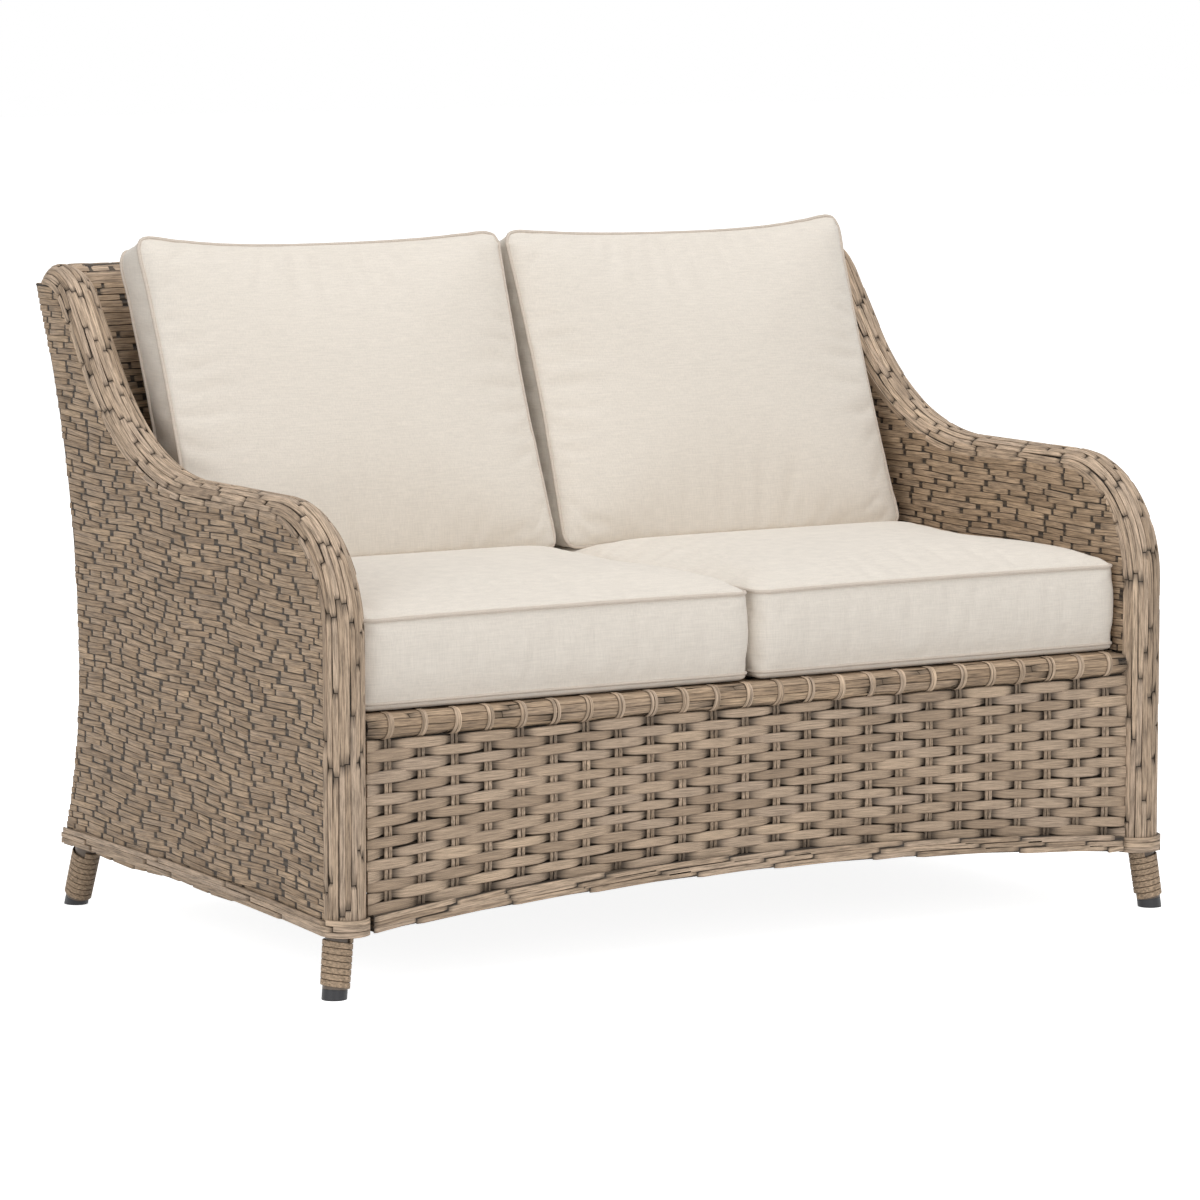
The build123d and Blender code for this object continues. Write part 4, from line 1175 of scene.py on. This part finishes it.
class LOVESEAT_OT_cushions(bpy.types.Operator):
    """Stuffs the four cushions and runs piping along their seams"""

    bl_idname = "loveseat.cushions"
    bl_label = "Stuff the cushions"

    def execute(self, context):
        radius = context.scene.loveseat_sizes.piping_radius
        for side, word in sides:
            top, low = seat_seam(side, seat_top_seam_z), seat_seam(side, seat_low_seam_z)
            front, rear = back_seam(side, 0), back_seam(side, back_boxing)
            lift = back_shape(side)
            for kind, seams, rest_z, crowned, shape, cap, pipes in (
                    ("seat", [top, low], seat_top_z, seat_top, seat_shape(side), 0.006,
                     (("piping", top, radius), ("lower_seam", low, radius * 0.7))),
                    ("back", [front, rear], back_seam_z, back_faces, lift, 0.007,
                     (("front_piping", lift(front), radius), ("rear_piping", lift(rear), radius)))):
                node = f"{word}_{kind}_cushion"
                body = f"{node}_body"
                piece = stuff_cushion(f"{word}_{kind}_pad", node, seams, rest_z, crowned, shape, cap)
                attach(piece, body)
                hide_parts(node)
                for line_name, line, thickness in pipes:
                    add_piping(f"{word}_{kind}_{line_name}", line, piece, thickness, body)
        return {"FINISHED"}


def point_at(piece, target):
    """Turns a lamp or the camera towards a point."""
    way = Vector(target) - piece.location
    piece.rotation_euler = way.to_track_quat("-Z", "Y").to_euler()


def seen_rays(tree):
    """Gives a socket that is 1 where the camera, a reflection or clear glass sees the surface."""
    path = add_node(tree, "ShaderNodeLightPath")
    seen = path.outputs["Is Camera Ray"]
    for ray in ("Is Glossy Ray", "Is Transmission Ray"):
        seen = add_node(tree, "ShaderNodeMath", {0: seen, 1: path.outputs[ray]},
                        operation="MAXIMUM").outputs["Value"]
    return seen


class LOVESEAT_OT_stage(bpy.types.Operator):
    """Sets the floor, the lamps, the white surroundings and the camera"""

    bl_idname = "loveseat.stage"
    bl_label = "Set the stage"

    def execute(self, context):
        scene = context.scene
        scene.view_settings.view_transform = "Standard"
        deselect_all()
        bpy.ops.mesh.primitive_plane_add(size=60, location=(0, 0, 0))
        floor = bpy.context.object
        floor.name = "studio_floor"
        material = bpy.data.materials.new("studio_floor_paint")
        tree = empty_tree(material)
        paint = add_node(tree, "ShaderNodeBsdfPrincipled", {"Base Color": linear("#f2f2f2"),
                                                            "Roughness": 0.9, "Specular IOR Level": 0.0})
        level = add_node(tree, "ShaderNodeMath", {0: seen_rays(tree), 1: 0.88}, operation="MULTIPLY")
        glow = add_node(tree, "ShaderNodeEmission", {"Strength": level.outputs["Value"]})
        both = add_node(tree, "ShaderNodeAddShader", {0: paint.outputs["BSDF"], 1: glow.outputs["Emission"]})
        add_node(tree, "ShaderNodeOutputMaterial", {"Surface": both.outputs["Shader"]})
        floor.data.materials.append(material)
        for name, place, size, power in (("key_lamp", (0.3, -1.3, 5.8), 4.0, 175),
                                         ("front_lamp", (-1.0, -6.0, 1.5), 3.0, 48),
                                         ("left_lamp", (-5.0, -2.4, 1.8), 3.5, 58)):
            lamp = bpy.data.lights.new(name, "AREA")
            lamp.shape = "SQUARE"
            lamp.size = size
            lamp.energy = power
            holder = bpy.data.objects.new(name, lamp)
            scene.collection.objects.link(holder)
            holder.location = place
            point_at(holder, (0, 0, 0.45))
        world = bpy.data.worlds.new("white_surroundings")
        scene.world = world
        tree = empty_tree(world)
        level = add_node(tree, "ShaderNodeMapRange", {"Value": seen_rays(tree), "To Min": 0.44,
                                                      "To Max": 1.0})
        glow = add_node(tree, "ShaderNodeBackground", {"Color": (1, 1, 1, 1),
                                                       "Strength": level.outputs["Result"]})
        add_node(tree, "ShaderNodeOutputWorld", {"Surface": glow.outputs["Background"]})
        camera = bpy.data.cameras.new("photo_camera")
        camera.lens = 163.514
        camera.sensor_width = 36
        camera.clip_end = 100
        holder = bpy.data.objects.new("photo_camera", camera)
        scene.collection.objects.link(holder)
        holder.location = (-4.00234, -6.65568, 1.40302)
        point_at(holder, (-0.01207, -0.0145, 0.44434))
        scene.camera = holder
        return {"FINISHED"}


operators = (LOVESEAT_OT_stage, LOVESEAT_OT_frame_finish, LOVESEAT_OT_arm_walls, LOVESEAT_OT_back,
             LOVESEAT_OT_caps, LOVESEAT_OT_back_cap, LOVESEAT_OT_apron, LOVESEAT_OT_band,
             LOVESEAT_OT_rims, LOVESEAT_OT_legs, LOVESEAT_OT_cushions)


class LOVESEAT_PT_panel(bpy.types.Panel):
    """Lists the sizes and the steps of the loveseat"""

    bl_idname = "LOVESEAT_PT_panel"
    bl_label = "Woven loveseat"
    bl_space_type = "VIEW_3D"
    bl_region_type = "UI"
    bl_category = "Loveseat"

    def draw(self, context):
        for name in ("course", "strand_run", "strand_thickness", "piping_radius", "wrap_pitch"):
            self.layout.prop(context.scene.loveseat_sizes, name)
        for name in ("cushion_colour", "piping_colour", "strand_colour", "shaded_wall_colour"):
            self.layout.prop(context.scene.loveseat_finish, name)
        for operator in operators:
            self.layout.operator(operator.bl_idname)


classes = (LoveseatFinish, LoveseatSizes, *operators, LOVESEAT_PT_panel)


def register():
    """Registers the classes and hangs the sizes and colours on the scene."""
    for item in classes:
        bpy.utils.register_class(item)
    bpy.types.Scene.loveseat_sizes = bpy.props.PointerProperty(type=LoveseatSizes)
    bpy.types.Scene.loveseat_finish = bpy.props.PointerProperty(type=LoveseatFinish)


def unregister():
    """Takes the sizes, colours and classes away again."""
    del bpy.types.Scene.loveseat_finish
    del bpy.types.Scene.loveseat_sizes
    for item in reversed(classes):
        bpy.utils.unregister_class(item)


def main():
    """Registers the add-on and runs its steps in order."""
    register()
    bpy.ops.loveseat.stage()
    bpy.ops.loveseat.frame_finish()
    bpy.ops.loveseat.arm_walls()
    bpy.ops.loveseat.back()
    bpy.ops.loveseat.caps()
    bpy.ops.loveseat.back_cap()
    bpy.ops.loveseat.apron()
    bpy.ops.loveseat.band()
    bpy.ops.loveseat.rims()
    bpy.ops.loveseat.legs()
    bpy.ops.loveseat.cushions()


if __name__ == "__main__":
    main()
